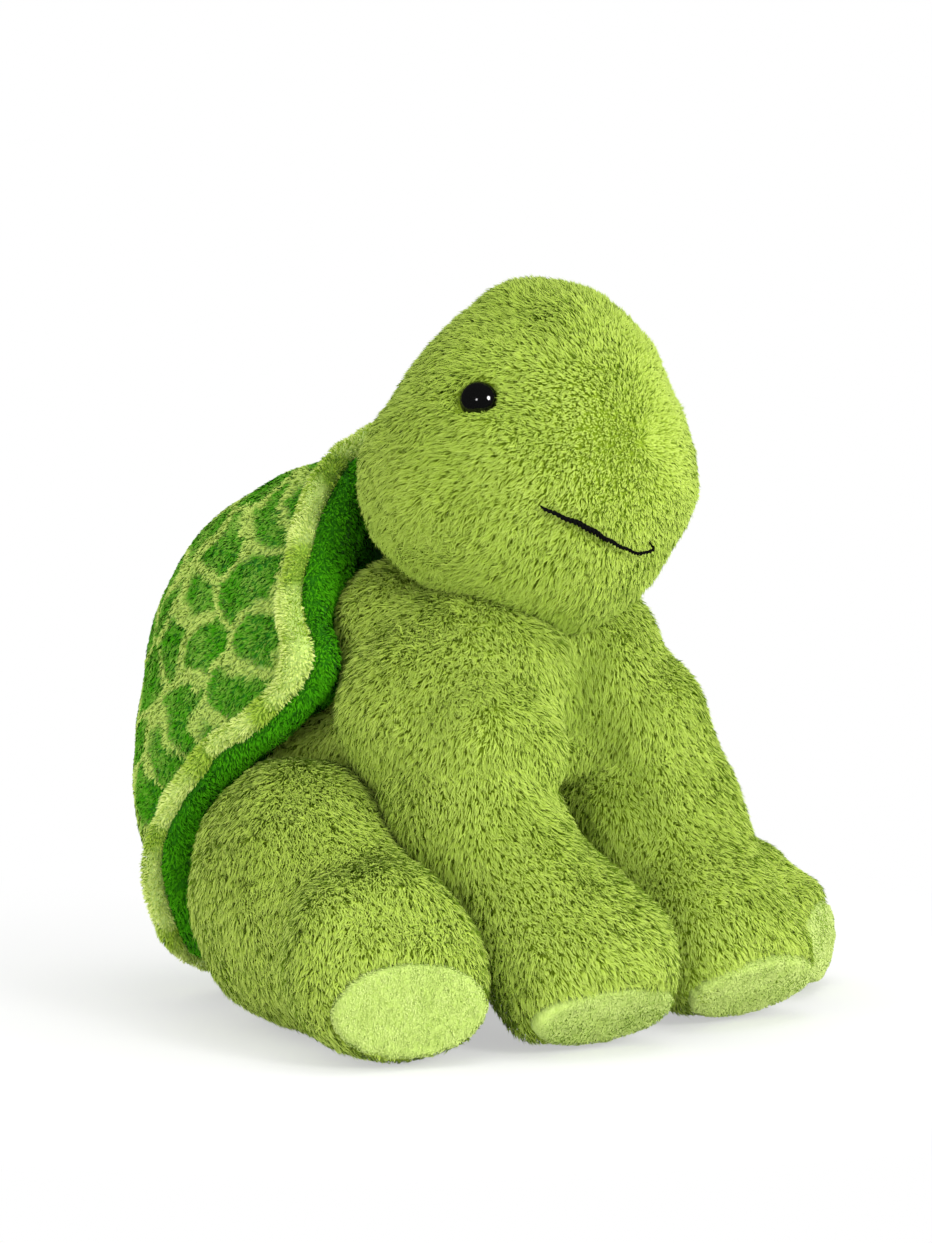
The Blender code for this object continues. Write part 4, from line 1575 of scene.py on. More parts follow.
@dataclass
class Shell:
    """The shell: a printed dome, a deep green front and a pale roll round the rim.

    Args:
        voxel: size of the dome's faces.
        front_voxel: size of the front's faces.
        patch_spacing: least distance between the dome's patches, and spot_spacing the roll's.
        vein: width of the veins between the patches, and spot_vein between the roll's.
        top_drop: how far the top is pressed down, which begins between top_levels.
        forward: how far the sides come forward at forward_level, which fades within
            forward_reach up and down and over forward_depths.
        crown: middle, radius and depth of each dent in the dome, where a bulge is below 0.
        facing_wall: thickness of the front's cloth.
        lip_radius: of the front's stuffed lip, lip_inset inside the rim and lip_forward of it.
        inner_inset: how far a second, inner lip lies inside the rim.
        tuck_from: how far behind the rim the front may pass, and tuck the share of the rest that
            is pressed back.
        roll_radius: of the roll, roll_out outside the CAD piping's line and roll_back behind it.
        roll_swell: share by which the roll is thicker above roll_levels.
        filled: how far the dome swells along the roll, and pressed how far it sinks elsewhere.
        seam_depth: how far it is drawn in behind the roll.
        print_pile: how the dome's pile stands, facing_pile the front's and roll_pile the roll's.
        body: the dome's cloth, once it is made, as are the roll and the front.
    """

    voxel: float = 0.0022
    front_voxel: float = 0.0020
    patch_spacing: float = 0.0205
    vein: float = 0.0047
    spot_spacing: float = 0.030
    spot_vein: float = 0.012
    top_drop: float = 0.0125
    top_levels: tuple[float, float] = (0.222, 0.255)
    forward: float = 0.007
    forward_level: float = 0.205
    forward_reach: float = 0.030
    forward_depths: tuple[float, float] = (0.045, 0.085)
    crown: tuple = (((0.0, 0.090, 0.174), 0.074, -0.013),)
    facing_wall: float = 0.0034
    lip_radius: float = 0.0080
    lip_inset: float = 0.0072
    lip_forward: float = 0.0030
    inner_inset: float = 0.0170
    tuck_from: float = -0.0005
    tuck: float = 0.9
    roll_radius: float = 0.0038
    roll_out: float = 0.0004
    roll_back: float = 0.0036
    roll_swell: float = 0.22
    roll_levels: tuple[float, float] = (0.13, 0.17)
    filled: float = 0.0026
    pressed: float = 0.0012
    seam_depth: float = 0.0045
    print_pile: Pile = Pile(
        length=0.0030, density=1.8, width=0.0008, lean=(35, 76), tuft=0.0015, gather=0.3,
        stray=0.25, swirl=0.35, apart=0.2, fold=0.75, tint=0.06, grain=0.05,
    )
    facing_pile: Pile = Pile(
        length=0.0030, density=2.4, width=0.0007, lean=(25, 62), tuft=0.0014, gather=0.3,
        stray=0.35, swirl=0.4, apart=0.25, fold=0.6, tint=0.16, grain=0.12,
    )
    roll_pile: Pile = Pile(
        length=0.0030, density=2.7, width=0.0007, lean=(8, 38), tuft=0.0017, gather=0.5,
        stray=0.40, swirl=0.8, apart=0.4, fold=0.55, tint=0.12, grain=0.16,
    )
    body: bpy.types.Object | None = None
    roll: bpy.types.Object | None = None
    front: bpy.types.Object | None = None

    def rim(self, count: int) -> Points:
        """Reads the CAD piping's middle line, once round from the bottom.

        Args:
            count: how many points the line has.

        Returns:
            The line's points.
        """
        node = points_of(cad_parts["shell_piping"].data)
        points = np.unique(node.round(6), axis=0)
        level = (points[:, 2].max() + points[:, 2].min()) / 2
        angles = np.arctan2(points[:, 0], points[:, 2] - level)
        rings = len(points) // CAD_PIPING_SIDES
        angles = (angles + math.pi + math.pi / rings) % (2 * math.pi)
        knots = points[np.argsort(angles)].reshape(rings, CAD_PIPING_SIDES, 3).mean(1)
        return closed_line(knots, count)

    def moved_rim(self, line: Points, outward: float, back: float) -> Points:
        """Moves the rim's line outward and back.

        Args:
            line: the rim's line.
            outward: how far it moves away from its middle.
            back: how far it moves back.

        Returns:
            The new line.
        """
        ahead = unit(np.roll(line, -1, 0) - np.roll(line, 1, 0))
        out = line - line.mean(0)
        out[:, 1] = 0
        out = unit(out - ahead * (out * ahead).sum(1, keepdims=True))
        return line + out * outward + np.array([0.0, back, 0.0])

    def lowered(self, points: Points) -> Points:
        """Presses the top down and brings its sides forward to the head.

        Args:
            points: of the dome or the rim.

        Returns:
            The new points.
        """
        moved = points.copy()
        moved[:, 2] -= self.top_drop * ease(points[:, 2], *self.top_levels)
        level = np.exp(-(((points[:, 2] - self.forward_level) / self.forward_reach) ** 2))
        moved[:, 1] -= self.forward * level * (1 - ease(points[:, 1], *self.forward_depths))
        return moved

    def form(self) -> None:
        """Makes the stuffed body, the roll and the front."""
        nodes = ("shell_cover", "shell_padding", "shell_facing")
        self.body = soft_copy("shell_cloth", nodes, self.voxel, rounds=24)
        inflate(self.body, cell=0.006, most=0.0030)
        mesh = self.body.data
        full = dented(points_of(mesh), normals_of(mesh), self.crown)
        place_points(mesh, self.lowered(full))
        line = self.lowered(self.rim(count=480))
        wander = 0.0009 * WaveField(0.045, RIM_SEED).vectors(line)
        place = self.moved_rim(line, self.roll_out, self.roll_back) + wander
        size = self.roll_radius * (1 + 0.13 * WaveField(0.020, RIM_SEED + 1).value(line))
        size *= 1 + self.roll_swell * ease(line[:, 2], *self.roll_levels)
        self.roll = ring_tube("shell_roll", place, line.mean(0), size, sides=16)
        self.draw_in()
        self.front = self.facing(line)

    def draw_in(self) -> None:
        """Fills the body out along the roll, and draws it in behind the roll as its seam does."""
        mesh = self.body.data
        points = points_of(mesh)
        gap = distances(tree_of(self.roll), points, 0.03)
        near = 1 - ease(gap, 0.003, 0.020)
        rear = ease(normals_of(mesh)[:, 1], -0.3, 0.1)
        hollow = rear * ease(gap, 0.001, 0.005) * (1 - ease(gap, 0.008, 0.022))
        moved = near * self.filled - (1 - near) * self.pressed - hollow * self.seam_depth
        place_points(mesh, points + normals_of(mesh) * moved[:, None])
        relax(mesh, 3)

    def facing(self, line: Points) -> bpy.types.Object:
        """Makes the front as a cloth of its own, with a stuffed lip along the rim.

        Args:
            line: the rim's line.

        Returns:
            The new object.
        """
        shape = bmesh.new()
        shape.from_mesh(self.body.data)
        back = [face for face in shape.faces if face.normal.y > -0.35]
        bmesh.ops.delete(shape, geom=back, context="FACES")
        mesh = bpy.data.meshes.new("shell_front")
        shape.to_mesh(mesh)
        shape.free()
        keep_outside(mesh)
        made = new_object("shell_front", mesh)
        select_only(made)
        wall = made.modifiers.new("Wall", "SOLIDIFY")
        wall.thickness = self.facing_wall
        wall.offset = 0.6
        bpy.ops.object.modifier_apply(modifier=wall.name)
        lip_line = self.moved_rim(line, -self.lip_inset, -self.lip_forward)
        high = ease(line[:, 2], 0.20, 0.24)
        bend = np.exp(-(((line[:, 2] - 0.150) / 0.028) ** 2))
        size = self.lip_radius * (1 - 0.35 * high - 0.32 * bend)
        size *= 1 + 0.05 * WaveField(0.04, RIM_SEED + 3).value(line)
        lip = ring_tube("shell_lip", lip_line, line.mean(0), size, sides=12)
        inner_line = self.moved_rim(line, -self.inner_inset, 0.0)
        inner_size = 0.0004 + self.lip_radius * ease(line[:, 2], 0.155, 0.190)
        inner = ring_tube("shell_inner_lip", inner_line, line.mean(0), inner_size, sides=12)
        for piece in (made, lip, inner):
            piece.select_set(True)
        bpy.context.view_layer.objects.active = made
        bpy.ops.object.join()
        even_out(made, self.front_voxel)
        relax(made.data, 7)
        place_points(made.data, self.tucked(points_of(made.data), line))
        relax(made.data, 2)
        made.data.shade_smooth()
        return made

    def tucked(self, points: Points, line: Points) -> Points:
        """Presses what passes behind the rim back to it.

        Args:
            points: of the front.
            line: the rim's line.

        Returns:
            The new points.
        """
        nearest = np.empty(len(points), int)
        for some in np.array_split(np.arange(len(points)), 1 + len(points) // 4000):
            part = points[some][:, None, [0, 2]] - line[None, :, [0, 2]]
            nearest[some] = (part * part).sum(2).argmin(1)
        over = np.maximum(points[:, 1] - line[nearest, 1] - self.tuck_from, 0)
        moved = points.copy()
        moved[:, 1] -= self.tuck * over
        return moved

    def dress(self, everything: BVHTree, finishes: Finishes) -> None:
        """Prints the cloths, grows their pile and parents them to the torso's empty.

        Args:
            everything: surfaces that hide pile.
            finishes: built materials by name.
        """
        dome, roll = points_of(self.body.data), points_of(self.roll.data)
        pattern = Mottle.over(dome, self.patch_spacing, self.vein, PRINT_SEED)
        spots = Mottle.over(roll, self.spot_spacing, self.spot_vein, SPOT_SEED)
        self.print_mark(self.body, pattern)
        self.print_mark(self.roll, spots)
        for pile, seed, ground, finish, slot in (
            (self.print_pile, DOME_SEED, self.dome_ground(pattern), "print_strands", "shell_print"),
            (self.facing_pile, FRONT_SEED, self.front_ground(everything), "deep_strands",
             "facing_pile"),
            (self.roll_pile, ROLL_SEED, self.roll_ground(spots), "roll_strands", "piping_pile"),
        ):
            for piece in PileMaker(pile, seed).grow(ground, f"{ground.made.name}_pile"):
                piece.data.materials.append(finishes[finish])
                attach(piece, "torso")
            LOG.info("%s: pile grown", ground.made.name)
        for made, finish, slot, nodes in (
            (self.body, "print_ground", "shell_print", ("shell_cover", "shell_padding")),
            (self.front, "deep_ground", "facing_pile", ("shell_facing",)),
            (self.roll, "roll_ground", "piping_pile", ("shell_piping",)),
        ):
            made.data.materials.append(finishes[finish])
            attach(made, "torso")
            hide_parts(*nodes)

    def print_mark(self, made: bpy.types.Object, mottle: Mottle) -> None:
        """Writes a mottle on a cloth as the attribute that its finish reads.

        Args:
            made: the cloth.
            mottle: its print.
        """
        values = mottle.patch(points_of(made.data))
        mark = made.data.attributes.new("print", "FLOAT", "POINT")
        mark.data.foreach_set("value", values.astype(np.float32))

    def dome_ground(self, pattern: Mottle) -> Ground:
        """Steers the dome's pile, which ends at the roll and the front.

        Args:
            pattern: the dome's print.

        Returns:
            The ground.
        """
        mesh = self.body.data
        points = points_of(mesh)
        height = ease(normals_of(mesh)[:, 1], -0.45, -0.15)
        height = height * ease(distances(tree_of(self.roll), points, 0.02), 0.0, 0.002)
        height = height * ease(distances(tree_of(self.front), points, 0.01), 0.0005, 0.003)
        return self.combed(self.body, height, (0.0, 0.55, -1.0), DOME_SEED, pattern)

    def front_ground(self, everything: BVHTree) -> Ground:
        """Steers the front's pile, which grows near the roll, where it can be seen.

        Args:
            everything: surfaces that hide pile.

        Returns:
            The ground.
        """
        mesh = self.front.data
        points, roll = points_of(mesh), tree_of(self.roll)
        height = 1 - ease(distances(roll, points, 0.05), 0.026, 0.038)
        height = height * ease(distances(tree_of(self.body), points, 0.01), 0.0008, 0.003)
        height = height * ease(distances(roll, points, 0.01), 0.0003, 0.002)
        thick, kept = np.zeros(len(points)), height > 0.01
        thick[kept] = thickness(points[kept], normals_of(mesh)[kept], everything)
        return self.combed(self.front, height, (0.0, -0.3, -1.0), FRONT_SEED, thick=thick)

    def roll_ground(self, spots: Mottle) -> Ground:
        """Steers the roll's pile, which ends at the front.

        Args:
            spots: the roll's print.

        Returns:
            The ground.
        """
        near = distances(tree_of(self.front), points_of(self.roll.data), 0.01)
        height = ease(near, 0.0002, 0.0020)
        return self.combed(self.roll, height, (0.0, 0.4, -1.0), ROLL_SEED, spots)

    def combed(
        self,
        made: bpy.types.Object,
        height: Points,
        comb: tuple[float, float, float],
        seed: int,
        mottle: Mottle | None = None,
        thick: Points | None = None,
    ) -> Ground:
        """Combs a cloth's pile one way all over.

        Args:
            made: the cloth.
            height: share of the pile's full length, per vertex.
            comb: the way it is combed.
            seed: start of the random draws of its tone.
            mottle: its print.
            thick: share of the full density, per vertex.

        Returns:
            The ground.
        """
        points = points_of(made.data)
        tone = 0.5 * WaveField(0.02, seed).value(points)
        return Ground(made, np.tile(np.array(comb), (len(points), 1)), height, tone, mottle, thick)


# Small pieces


@dataclass
class Pad:
    """A padded sole of short pale pile.

    Args:
        kind: the kind of leg that carries it.
        side: the side that it is on.
        leg: the leg that carries it.
        voxel: size of its faces.
        depth: how far it reaches into the leg.
        spread: how much wider a forepaw's sole is than the solid.
        squash: size of a foot's sole against the solid's, along X, Y and Z.
        drop: how much lower a foot's sole lies.
        pile: how its pile stands.
        made: its cloth, once it is made.
    """

    kind: LegKind
    side: Side
    leg: Limb
    voxel: float = 0.0011
    depth: float = 0.0035
    spread: float = 1.12
    squash: tuple[float, float, float] = (1.05, 1.05, 0.88)
    drop: float = 0.0035
    pile: Pile = Pile(
        length=0.0014, density=2.9, width=0.00056, lean=(30, 68), tuft=0.0016, gather=0.2,
        stray=0.35, swirl=0.5, apart=0.2, fold=0.85, tint=0.05, grain=0.05,
    )
    made: bpy.types.Object | None = None

    def build(self, finishes: Finishes) -> None:
        """Makes the sole, which reaches a little into the leg, and grows its pile.

        Args:
            finishes: built materials by name.
        """
        node = self.kind.sole(self.side)
        made = soft_copy(f"{node}_cloth", (node,), self.voxel, rounds=14)
        mesh = made.data
        points, normals = points_of(mesh), normals_of(mesh)
        middle = points.mean(0)
        carrier = points_of(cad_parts[f"{self.leg.name}_filling"].data).mean(0)
        flat = unit(np.linalg.svd(points - middle, full_matrices=False)[2][2])
        out = flat * np.sign(flat @ (middle - carrier))
        inner = ease(-(points - middle) @ out, -0.0006, 0.0012)
        points = points - out * (self.depth * inner)[:, None]
        bumps = 0.00025 * WaveField(0.009, SOLE_SEED).value(points) * (1 - inner)
        points = points + normals * bumps[:, None]
        points = self.leg.posed(self.sized(points, middle))
        points[:, 2] = np.maximum(points[:, 2], FLOOR_CLEARANCE)
        place_points(mesh, points)
        self.made = made
        height = ease((points - middle) @ out, -0.006, -0.003)
        comb = np.tile(np.array([0.2 * self.side.value, 0.1, -1.0]), (len(points), 1))
        tone = 0.5 * WaveField(0.014, SOLE_SEED + 1).value(points)
        ground = Ground(made, comb, height, tone)
        for piece in PileMaker(self.pile, SOLE_SEED + 2).grow(ground, f"{node}_pile"):
            piece.data.materials.append(finishes["pale_strands"])
            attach(piece, self.leg.body)
        mesh.materials.append(finishes["pale_ground"])
        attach(made, self.leg.body)
        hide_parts(node)
        LOG.info("%s: sole made", node)

    def sized(self, points: Points, middle: Points) -> Points:
        """Widens a forepaw's sole, and squashes and lowers a foot's.

        Args:
            points: of the sole.
            middle: of the sole.

        Returns:
            The new points.
        """
        if self.kind is LegKind.FORE:
            return middle + (points - middle) * np.array([self.spread, 1, 1])
        return middle + (points - middle) * np.array(self.squash) - np.array([0, 0, self.drop])

    def clearings(self) -> list[tuple]:
        """What the leg's pile keeps clear of: the sole's tree and two distances."""
        return [(tree_of(self.made), 0.0004, 0.0022)]


@dataclass
class Eye:
    """A domed eye of glossy black plastic.

    Args:
        side: the side that it is on.
        sink: how deep it sits in the pile, against the solid.
        shown: its width against the solid's.
        shift: how far it moves, with X away from the turtle's middle.
        upward: how much it looks up.
        cut: height above the ball's middle, as a share, under which the ball is cut off.
        made: the dome, once it is made.
    """

    side: Side
    sink: float = 0.0030
    shown: float = 0.93
    shift: tuple[float, float, float] = (-0.0008, -0.0013, -0.0017)
    upward: float = 0.10
    cut: float = -0.28
    made: bpy.types.Object | None = None

    def build(self, finishes: Finishes) -> None:
        """Makes the dome over the CAD eye's own axis and size.

        Args:
            finishes: built materials by name.
        """
        node = f"eye_{self.side.word}"
        points = points_of(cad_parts[node].data)
        crown = points[np.linalg.norm(points - np.array(HEAD_MIDDLE), axis=1).argmax()]
        out = unit(crown - points.mean(0))
        level = (points - crown) @ out
        from_axis = np.linalg.norm(points - crown - level[:, None] * out, axis=1)
        radius = from_axis.max()
        rise = -level[from_axis > radius * 0.99].max()
        crown = crown - out * self.sink + np.array(self.shift) * (self.side.value, 1, 1)
        select_nothing()
        bpy.ops.mesh.primitive_uv_sphere_add(segments=48, ring_count=32, radius=1)
        made = bpy.context.object
        made.name = f"{node}_dome"
        bpy.ops.object.mode_set(mode="EDIT")
        bpy.ops.mesh.select_all(action="SELECT")
        bpy.ops.mesh.bisect(
            plane_co=(0, 0, self.cut), plane_no=(0, 0, 1), use_fill=True, clear_inner=True
        )
        bpy.ops.object.mode_set(mode="OBJECT")
        mesh = made.data
        radius *= self.shown
        places = points_of(mesh) * np.array([radius, radius, rise])
        middle = crown - out * rise
        out = unit(out + np.array([0.0, 0.0, self.upward]))
        turn = Vector((0, 0, 1)).rotation_difference(Vector(out)).to_matrix()
        place_points(mesh, places @ np.array(turn).T + middle)
        mesh.shade_smooth()
        mesh.materials.append(finishes["eye_black"])
        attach(made, "head")
        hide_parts(node)
        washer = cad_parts[f"eye_washer_{self.side.word}"]
        washer.data.materials.clear()
        washer.data.materials.append(finishes["washer_white"])
        self.made = made
        LOG.info("%s: dome made", node)

    def clearings(self) -> list[tuple]:
        """What the head's pile keeps clear of: the dome's tree and two distances."""
        return [(tree_of(self.made), 0.0, 0.0040)]


@dataclass
class Mouth:
    """The stitched line of black thread.

    Args:
        ply_radius: of each of the thread's two plies.
        lift: how far the thread's right half bows up.
        waves: height, pace and start of each small wave in the thread's way.
        heavy_at: share of the way where it is thickest, and heavy_reach how far that fades.
        twist: length of one turn of the plies.
        steps: rings along a ply.
        hidden_from: place along X where the thread goes into the pile.
        hidden_run: how far it takes to go in.
        hidden_depth: how deep it lies there.
        clear: distances from the thread between which the pile gets its height.
        tree: what the pile keeps clear of, once it is made.
    """

    ply_radius: float = 0.00066
    lift: float = 0.0016
    waves: tuple = ((0.00022, 71, 0), (0.00030, 23, 1))
    heavy_at: float = 0.20
    heavy_reach: float = 0.13
    twist: float = 0.0042
    steps: int = 260
    hidden_from: float = 0.0085
    hidden_run: float = 0.004
    hidden_depth: float = 0.0065
    clear: tuple[float, float] = (0.0008, 0.0050)
    tree: BVHTree | None = None

    def line(self) -> Points:
        """Reads the CAD thread's middle line.

        Returns:
            Its points, from the turtle's right to its left.
        """
        node = points_of(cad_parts["mouth_stitches"].data)
        points = np.unique(node.round(6), axis=0)
        points = points[np.argsort(points[:, 0])]
        rows = len(points) // CAD_THREAD_SIDES
        return points[: rows * CAD_THREAD_SIDES].reshape(rows, CAD_THREAD_SIDES, 3).mean(1)

    def path(self) -> tuple[Points, Points, Points, Points]:
        """Lays the thread's way, which bows a little and goes into the pile on the left.

        Returns:
            Way gone, middle, outward and upward direction at each step.
        """
        knots = self.line()
        runs = np.linalg.norm(np.diff(knots, axis=0), axis=1)
        way = np.concatenate([[0], np.cumsum(runs)])
        at = np.linspace(0, way[-1], self.steps)
        middle = np.stack([np.interp(at, way, knots[:, k]) for k in range(3)], 1)
        for _ in range(6):
            middle[1:-1] = (middle[:-2] + 2 * middle[1:-1] + middle[2:]) / 4
        ahead = unit(np.gradient(middle, axis=0))
        out = unit(middle - np.array(FACE_MIDDLE))
        out = unit(out - ahead * (out * ahead).sum(1, keepdims=True))
        side = np.cross(ahead, out)
        share = at / way[-1]
        wave = sum(height * np.sin(share * pace + start) for height, pace, start in self.waves)
        bow = np.sin(np.clip(share / 0.5, 0, 1) * math.pi) ** 2
        wave += self.lift * bow * np.sign(side[:, 2])
        hidden = ease(middle[:, 0], self.hidden_from, self.hidden_from + self.hidden_run)
        deep = self.hidden_depth * hidden
        return at, middle + side * wave[:, None] - out * deep[:, None], out, side

    def ply(
        self, shape: bmesh.types.BMesh, centre: Points, out: Points, side: Points, thick: Points
    ) -> None:
        """Adds one ply, closed at both ends.

        Args:
            shape: the mesh that it goes into.
            centre: its middle line.
            out: outward direction at each step.
            side: upward direction at each step.
            thick: its radius at each step.
        """
        rows = []
        for k in range(self.steps):
            ring = []
            for turn in range(PLY_SIDES):
                around = turn / PLY_SIDES * 2 * math.pi
                arm = out[k] * math.cos(around) + side[k] * math.sin(around)
                ring.append(shape.verts.new(centre[k] + arm * thick[k]))
            rows.append(ring)
        for first, second in zip(rows, rows[1:]):
            for turn in range(PLY_SIDES):
                after = (turn + 1) % PLY_SIDES
                corners = (first[turn], second[turn], second[after], first[after])
                shape.faces.new(corners).smooth = True
        shape.faces.new(rows[0])
        shape.faces.new(rows[-1][::-1])

    def build(self, finishes: Finishes) -> None:
        """Makes two twisted plies along the line, thicker on the turtle's right.

        Args:
            finishes: built materials by name.
        """
        at, middle, out, side = self.path()
        share = at / at[-1]
        ends = np.sqrt(np.clip(np.minimum(share, 1 - share) / 0.03, 0.05, 1))
        heavy = np.exp(-(((share - self.heavy_at) / self.heavy_reach) ** 2))
        thick = self.ply_radius * (0.75 + 0.65 * heavy) * ends
        shape = bmesh.new()
        for ply in range(2):
            angle = at / self.twist * 2 * math.pi + ply * math.pi
            offset = out * np.cos(angle)[:, None] + side * np.sin(angle)[:, None]
            centre = middle + offset * (thick * 0.62)[:, None] + out * 0.0004
            self.ply(shape, centre, out, side, thick)
        bmesh.ops.recalc_face_normals(shape, faces=shape.faces)
        mesh = bpy.data.meshes.new("mouth_thread")
        shape.to_mesh(mesh)
        shape.free()
        made = new_object("mouth_thread", mesh)
        mesh.materials.append(finishes["thread_black"])
        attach(made, "head")
        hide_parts("mouth_stitches")
        knots = bmesh.new()
        for point in middle[middle[:, 0] < self.hidden_from][::2]:
            place = Matrix.Translation(Vector(point))
            bmesh.ops.create_icosphere(knots, subdivisions=1, radius=0.0007, matrix=place)
        self.tree = BVHTree.FromBMesh(knots)
        knots.free()
        LOG.info("mouth: thread laid")

    def clearings(self) -> list[tuple]:
        """What the head's pile keeps clear of: the thread's tree and two distances."""
        return [(self.tree, *self.clear)]


# Studio


@dataclass(frozen=True)
class Lamp:
    """A round soft lamp that shines at the turtle.

    Args:
        name: of the lamp.
        way: direction from the turtle to the lamp.
        size: its diameter, in metres.
        power: in watts.
        mirrored: whether glossy pieces show it.
    """

    name: str
    way: tuple[float, float, float]
    size: float
    power: float
    mirrored: bool = False

    def build(self, aim: Vector, distance: float) -> None:
        """Hangs the lamp.

        Args:
            aim: the point that it shines at.
            distance: from there to the lamp.
        """
        data = bpy.data.lights.new(self.name, "AREA")
        data.shape = "DISK"
        data.size = self.size
        data.energy = self.power
        made = bpy.data.objects.new(self.name, data)
        bpy.context.scene.collection.objects.link(made)
        made.visible_glossy = self.mirrored
        back = Vector(self.way).normalized()
        made.location = aim + back * distance
        made.rotation_euler = (-back).to_track_quat("-Z", "Y").to_euler()


LAMPS = (
    Lamp("key", (-0.24, -0.93, 0.36), 0.62, 18.0, mirrored=True),
    Lamp("side", (-0.90, -0.37, 0.27), 0.30, 2.0, mirrored=True),
    Lamp("top", (0.10, -0.10, 1.0), 1.3, 6.0),
    Lamp("left", (-0.90, 0.20, 0.30), 1.3, 6.0),
    Lamp("front", (0.25, -0.96, 0.10), 1.4, 14.0),
)


@dataclass(frozen=True)
class Studio:
    """A pale floor, soft lamps and the camera.

    Args:
        azimuth: of the camera, in degrees, as is its elevation.
        aim: the point that the camera looks at.
        distance: from the camera to the aim.
        view_height: height of the view at the aim.
        sensor: width of the camera's sensor, in millimetres.
        floor_size: length of the floor's sides.
        floor_shade: distances between which the floor turns plain white.
        floor_glow: how white the floor is to the camera under the turtle.
        world_light: strength of the world as light.
        world_reflection: its share of that in reflections.
        lamp_distance: from the aim to each lamp.
    """

    azimuth: float = -50.0
    elevation: float = 5.3
    aim: tuple[float, float, float] = (0.003, -0.034, 0.163)
    distance: float = 2.5
    view_height: float = 0.52206
    sensor: float = 36.0
    floor_size: float = 24.0
    floor_shade: tuple[float, float] = (0.26, 0.42)
    floor_glow: float = 0.5
    world_light: float = 0.86
    world_reflection: float = 0.06
    lamp_distance: float = 2.2

    def camera(self) -> None:
        """Places the camera."""
        data = bpy.data.cameras.new("camera")
        data.sensor_fit = "AUTO"
        data.sensor_width = self.sensor
        data.lens = self.sensor * self.distance / self.view_height
        data.clip_start, data.clip_end = 0.05, 30
        made = bpy.data.objects.new("camera", data)
        bpy.context.scene.collection.objects.link(made)
        turn, rise = math.radians(self.azimuth), math.radians(self.elevation)
        level = math.cos(rise)
        back = Vector((math.sin(turn) * level, -math.cos(turn) * level, math.sin(rise)))
        made.location = Vector(self.aim) + back * self.distance
        made.rotation_euler = (-back).to_track_quat("-Z", "Y").to_euler()
        bpy.context.scene.camera = made

    def floor(self) -> None:
        """A wide white floor that keeps the turtle's shadow, and is plain white far from it."""
        select_nothing()
        bpy.ops.mesh.primitive_plane_add(size=self.floor_size, location=(0, 0, 0))
        made = bpy.context.object
        made.name = "floor"
        surface, shader = fresh_material("floor_white")
        plain = {"Base Color": (0.97, 0.97, 0.97, 1), "Roughness": 1.0, "Specular IOR Level": 0.0}
        set_inputs(shader, plain)
        tree = surface.node_tree
        place = tree.nodes.new("ShaderNodeTexCoord")
        far = tree.nodes.new("ShaderNodeVectorMath")
        far.operation = "LENGTH"
        tree.links.new(place.outputs["Object"], far.inputs[0])
        share = tree.nodes.new("ShaderNodeMapRange")
        share.interpolation_type = "SMOOTHSTEP"
        near, wide = self.floor_shade
        set_inputs(share, {"From Min": near, "From Max": wide, "To Min": self.floor_glow})
        tree.links.new(far.outputs["Value"], share.inputs["Value"])
        rays = tree.nodes.new("ShaderNodeLightPath")
        seen = tree.nodes.new("ShaderNodeMath")
        seen.operation = "MULTIPLY"
        tree.links.new(share.outputs["Result"], seen.inputs[0])
        tree.links.new(rays.outputs["Is Camera Ray"], seen.inputs[1])
        white = tree.nodes.new("ShaderNodeEmission")
        blend = tree.nodes.new("ShaderNodeMixShader")
        tree.links.new(seen.outputs[0], blend.inputs["Fac"])
        tree.links.new(shader.outputs[0], blend.inputs[1])
        tree.links.new(white.outputs[0], blend.inputs[2])
        tree.links.new(blend.outputs[0], tree.nodes["Material Output"].inputs["Surface"])
        made.data.materials.append(surface)
        made.visible_glossy = False

    def world(self) -> None:
        """White to the camera, softer as light and dim in reflections."""
        world = bpy.data.worlds.new("world")
        world.use_nodes = True
        tree = world.node_tree
        back = tree.nodes["Background"]
        rays = tree.nodes.new("ShaderNodeLightPath")
        strength = tree.nodes.new("ShaderNodeMapRange")
        set_inputs(strength, {"To Min": self.world_light, "To Max": 1.0})
        tree.links.new(rays.outputs["Is Camera Ray"], strength.inputs["Value"])
        dim = tree.nodes.new("ShaderNodeMapRange")
        set_inputs(dim, {"To Min": 1.0, "To Max": self.world_reflection})
        tree.links.new(rays.outputs["Is Glossy Ray"], dim.inputs["Value"])
        both = tree.nodes.new("ShaderNodeMath")
        both.operation = "MULTIPLY"
        tree.links.new(strength.outputs["Result"], both.inputs[0])
        tree.links.new(dim.outputs["Result"], both.inputs[1])
        tree.links.new(both.outputs[0], back.inputs["Strength"])
        back.inputs["Color"].default_value = (1, 1, 1, 1)
        bpy.context.scene.world = world

    def build(self) -> None:
        """Sets up the whole studio."""
        self.camera()
        self.floor()
        self.world()
        for lamp in LAMPS:
            lamp.build(Vector(self.aim), self.lamp_distance)
        bpy.context.scene.view_settings.view_transform = "Standard"


# The turtle


LONG = Pile(
    length=0.0061, density=2.68, width=0.00066, lean=(24, 66), tuft=0.0018, gather=0.60,
    stray=0.22, swirl=0.26, apart=0.20, fold=0.78, tint=0.07, grain=0.14,
)
FLAT = replace(LONG, lean=(32, 76), width=0.00072)
SHOULDERS = tuple(
    ((side.value * x, y, z), radius)
    for side in Side
    for x, y, z, radius in (
        (0.046, -0.080, 0.118, 0.0385),
        (0.043, -0.058, 0.128, 0.044),
        (0.030, -0.064, 0.143, 0.043),
        (0.040, -0.002, 0.105, 0.031),
        (0.030, -0.031, 0.158, 0.034),
    )
)
CHEST_DENTS = (
    ((0.004, -0.097, 0.152), 0.011, 0.006),
    ((0.002, -0.102, 0.137), 0.011, 0.007),
    ((0.000, -0.104, 0.121), 0.014, 0.013),
    ((0.000, -0.110, 0.104), 0.017, 0.016),
)
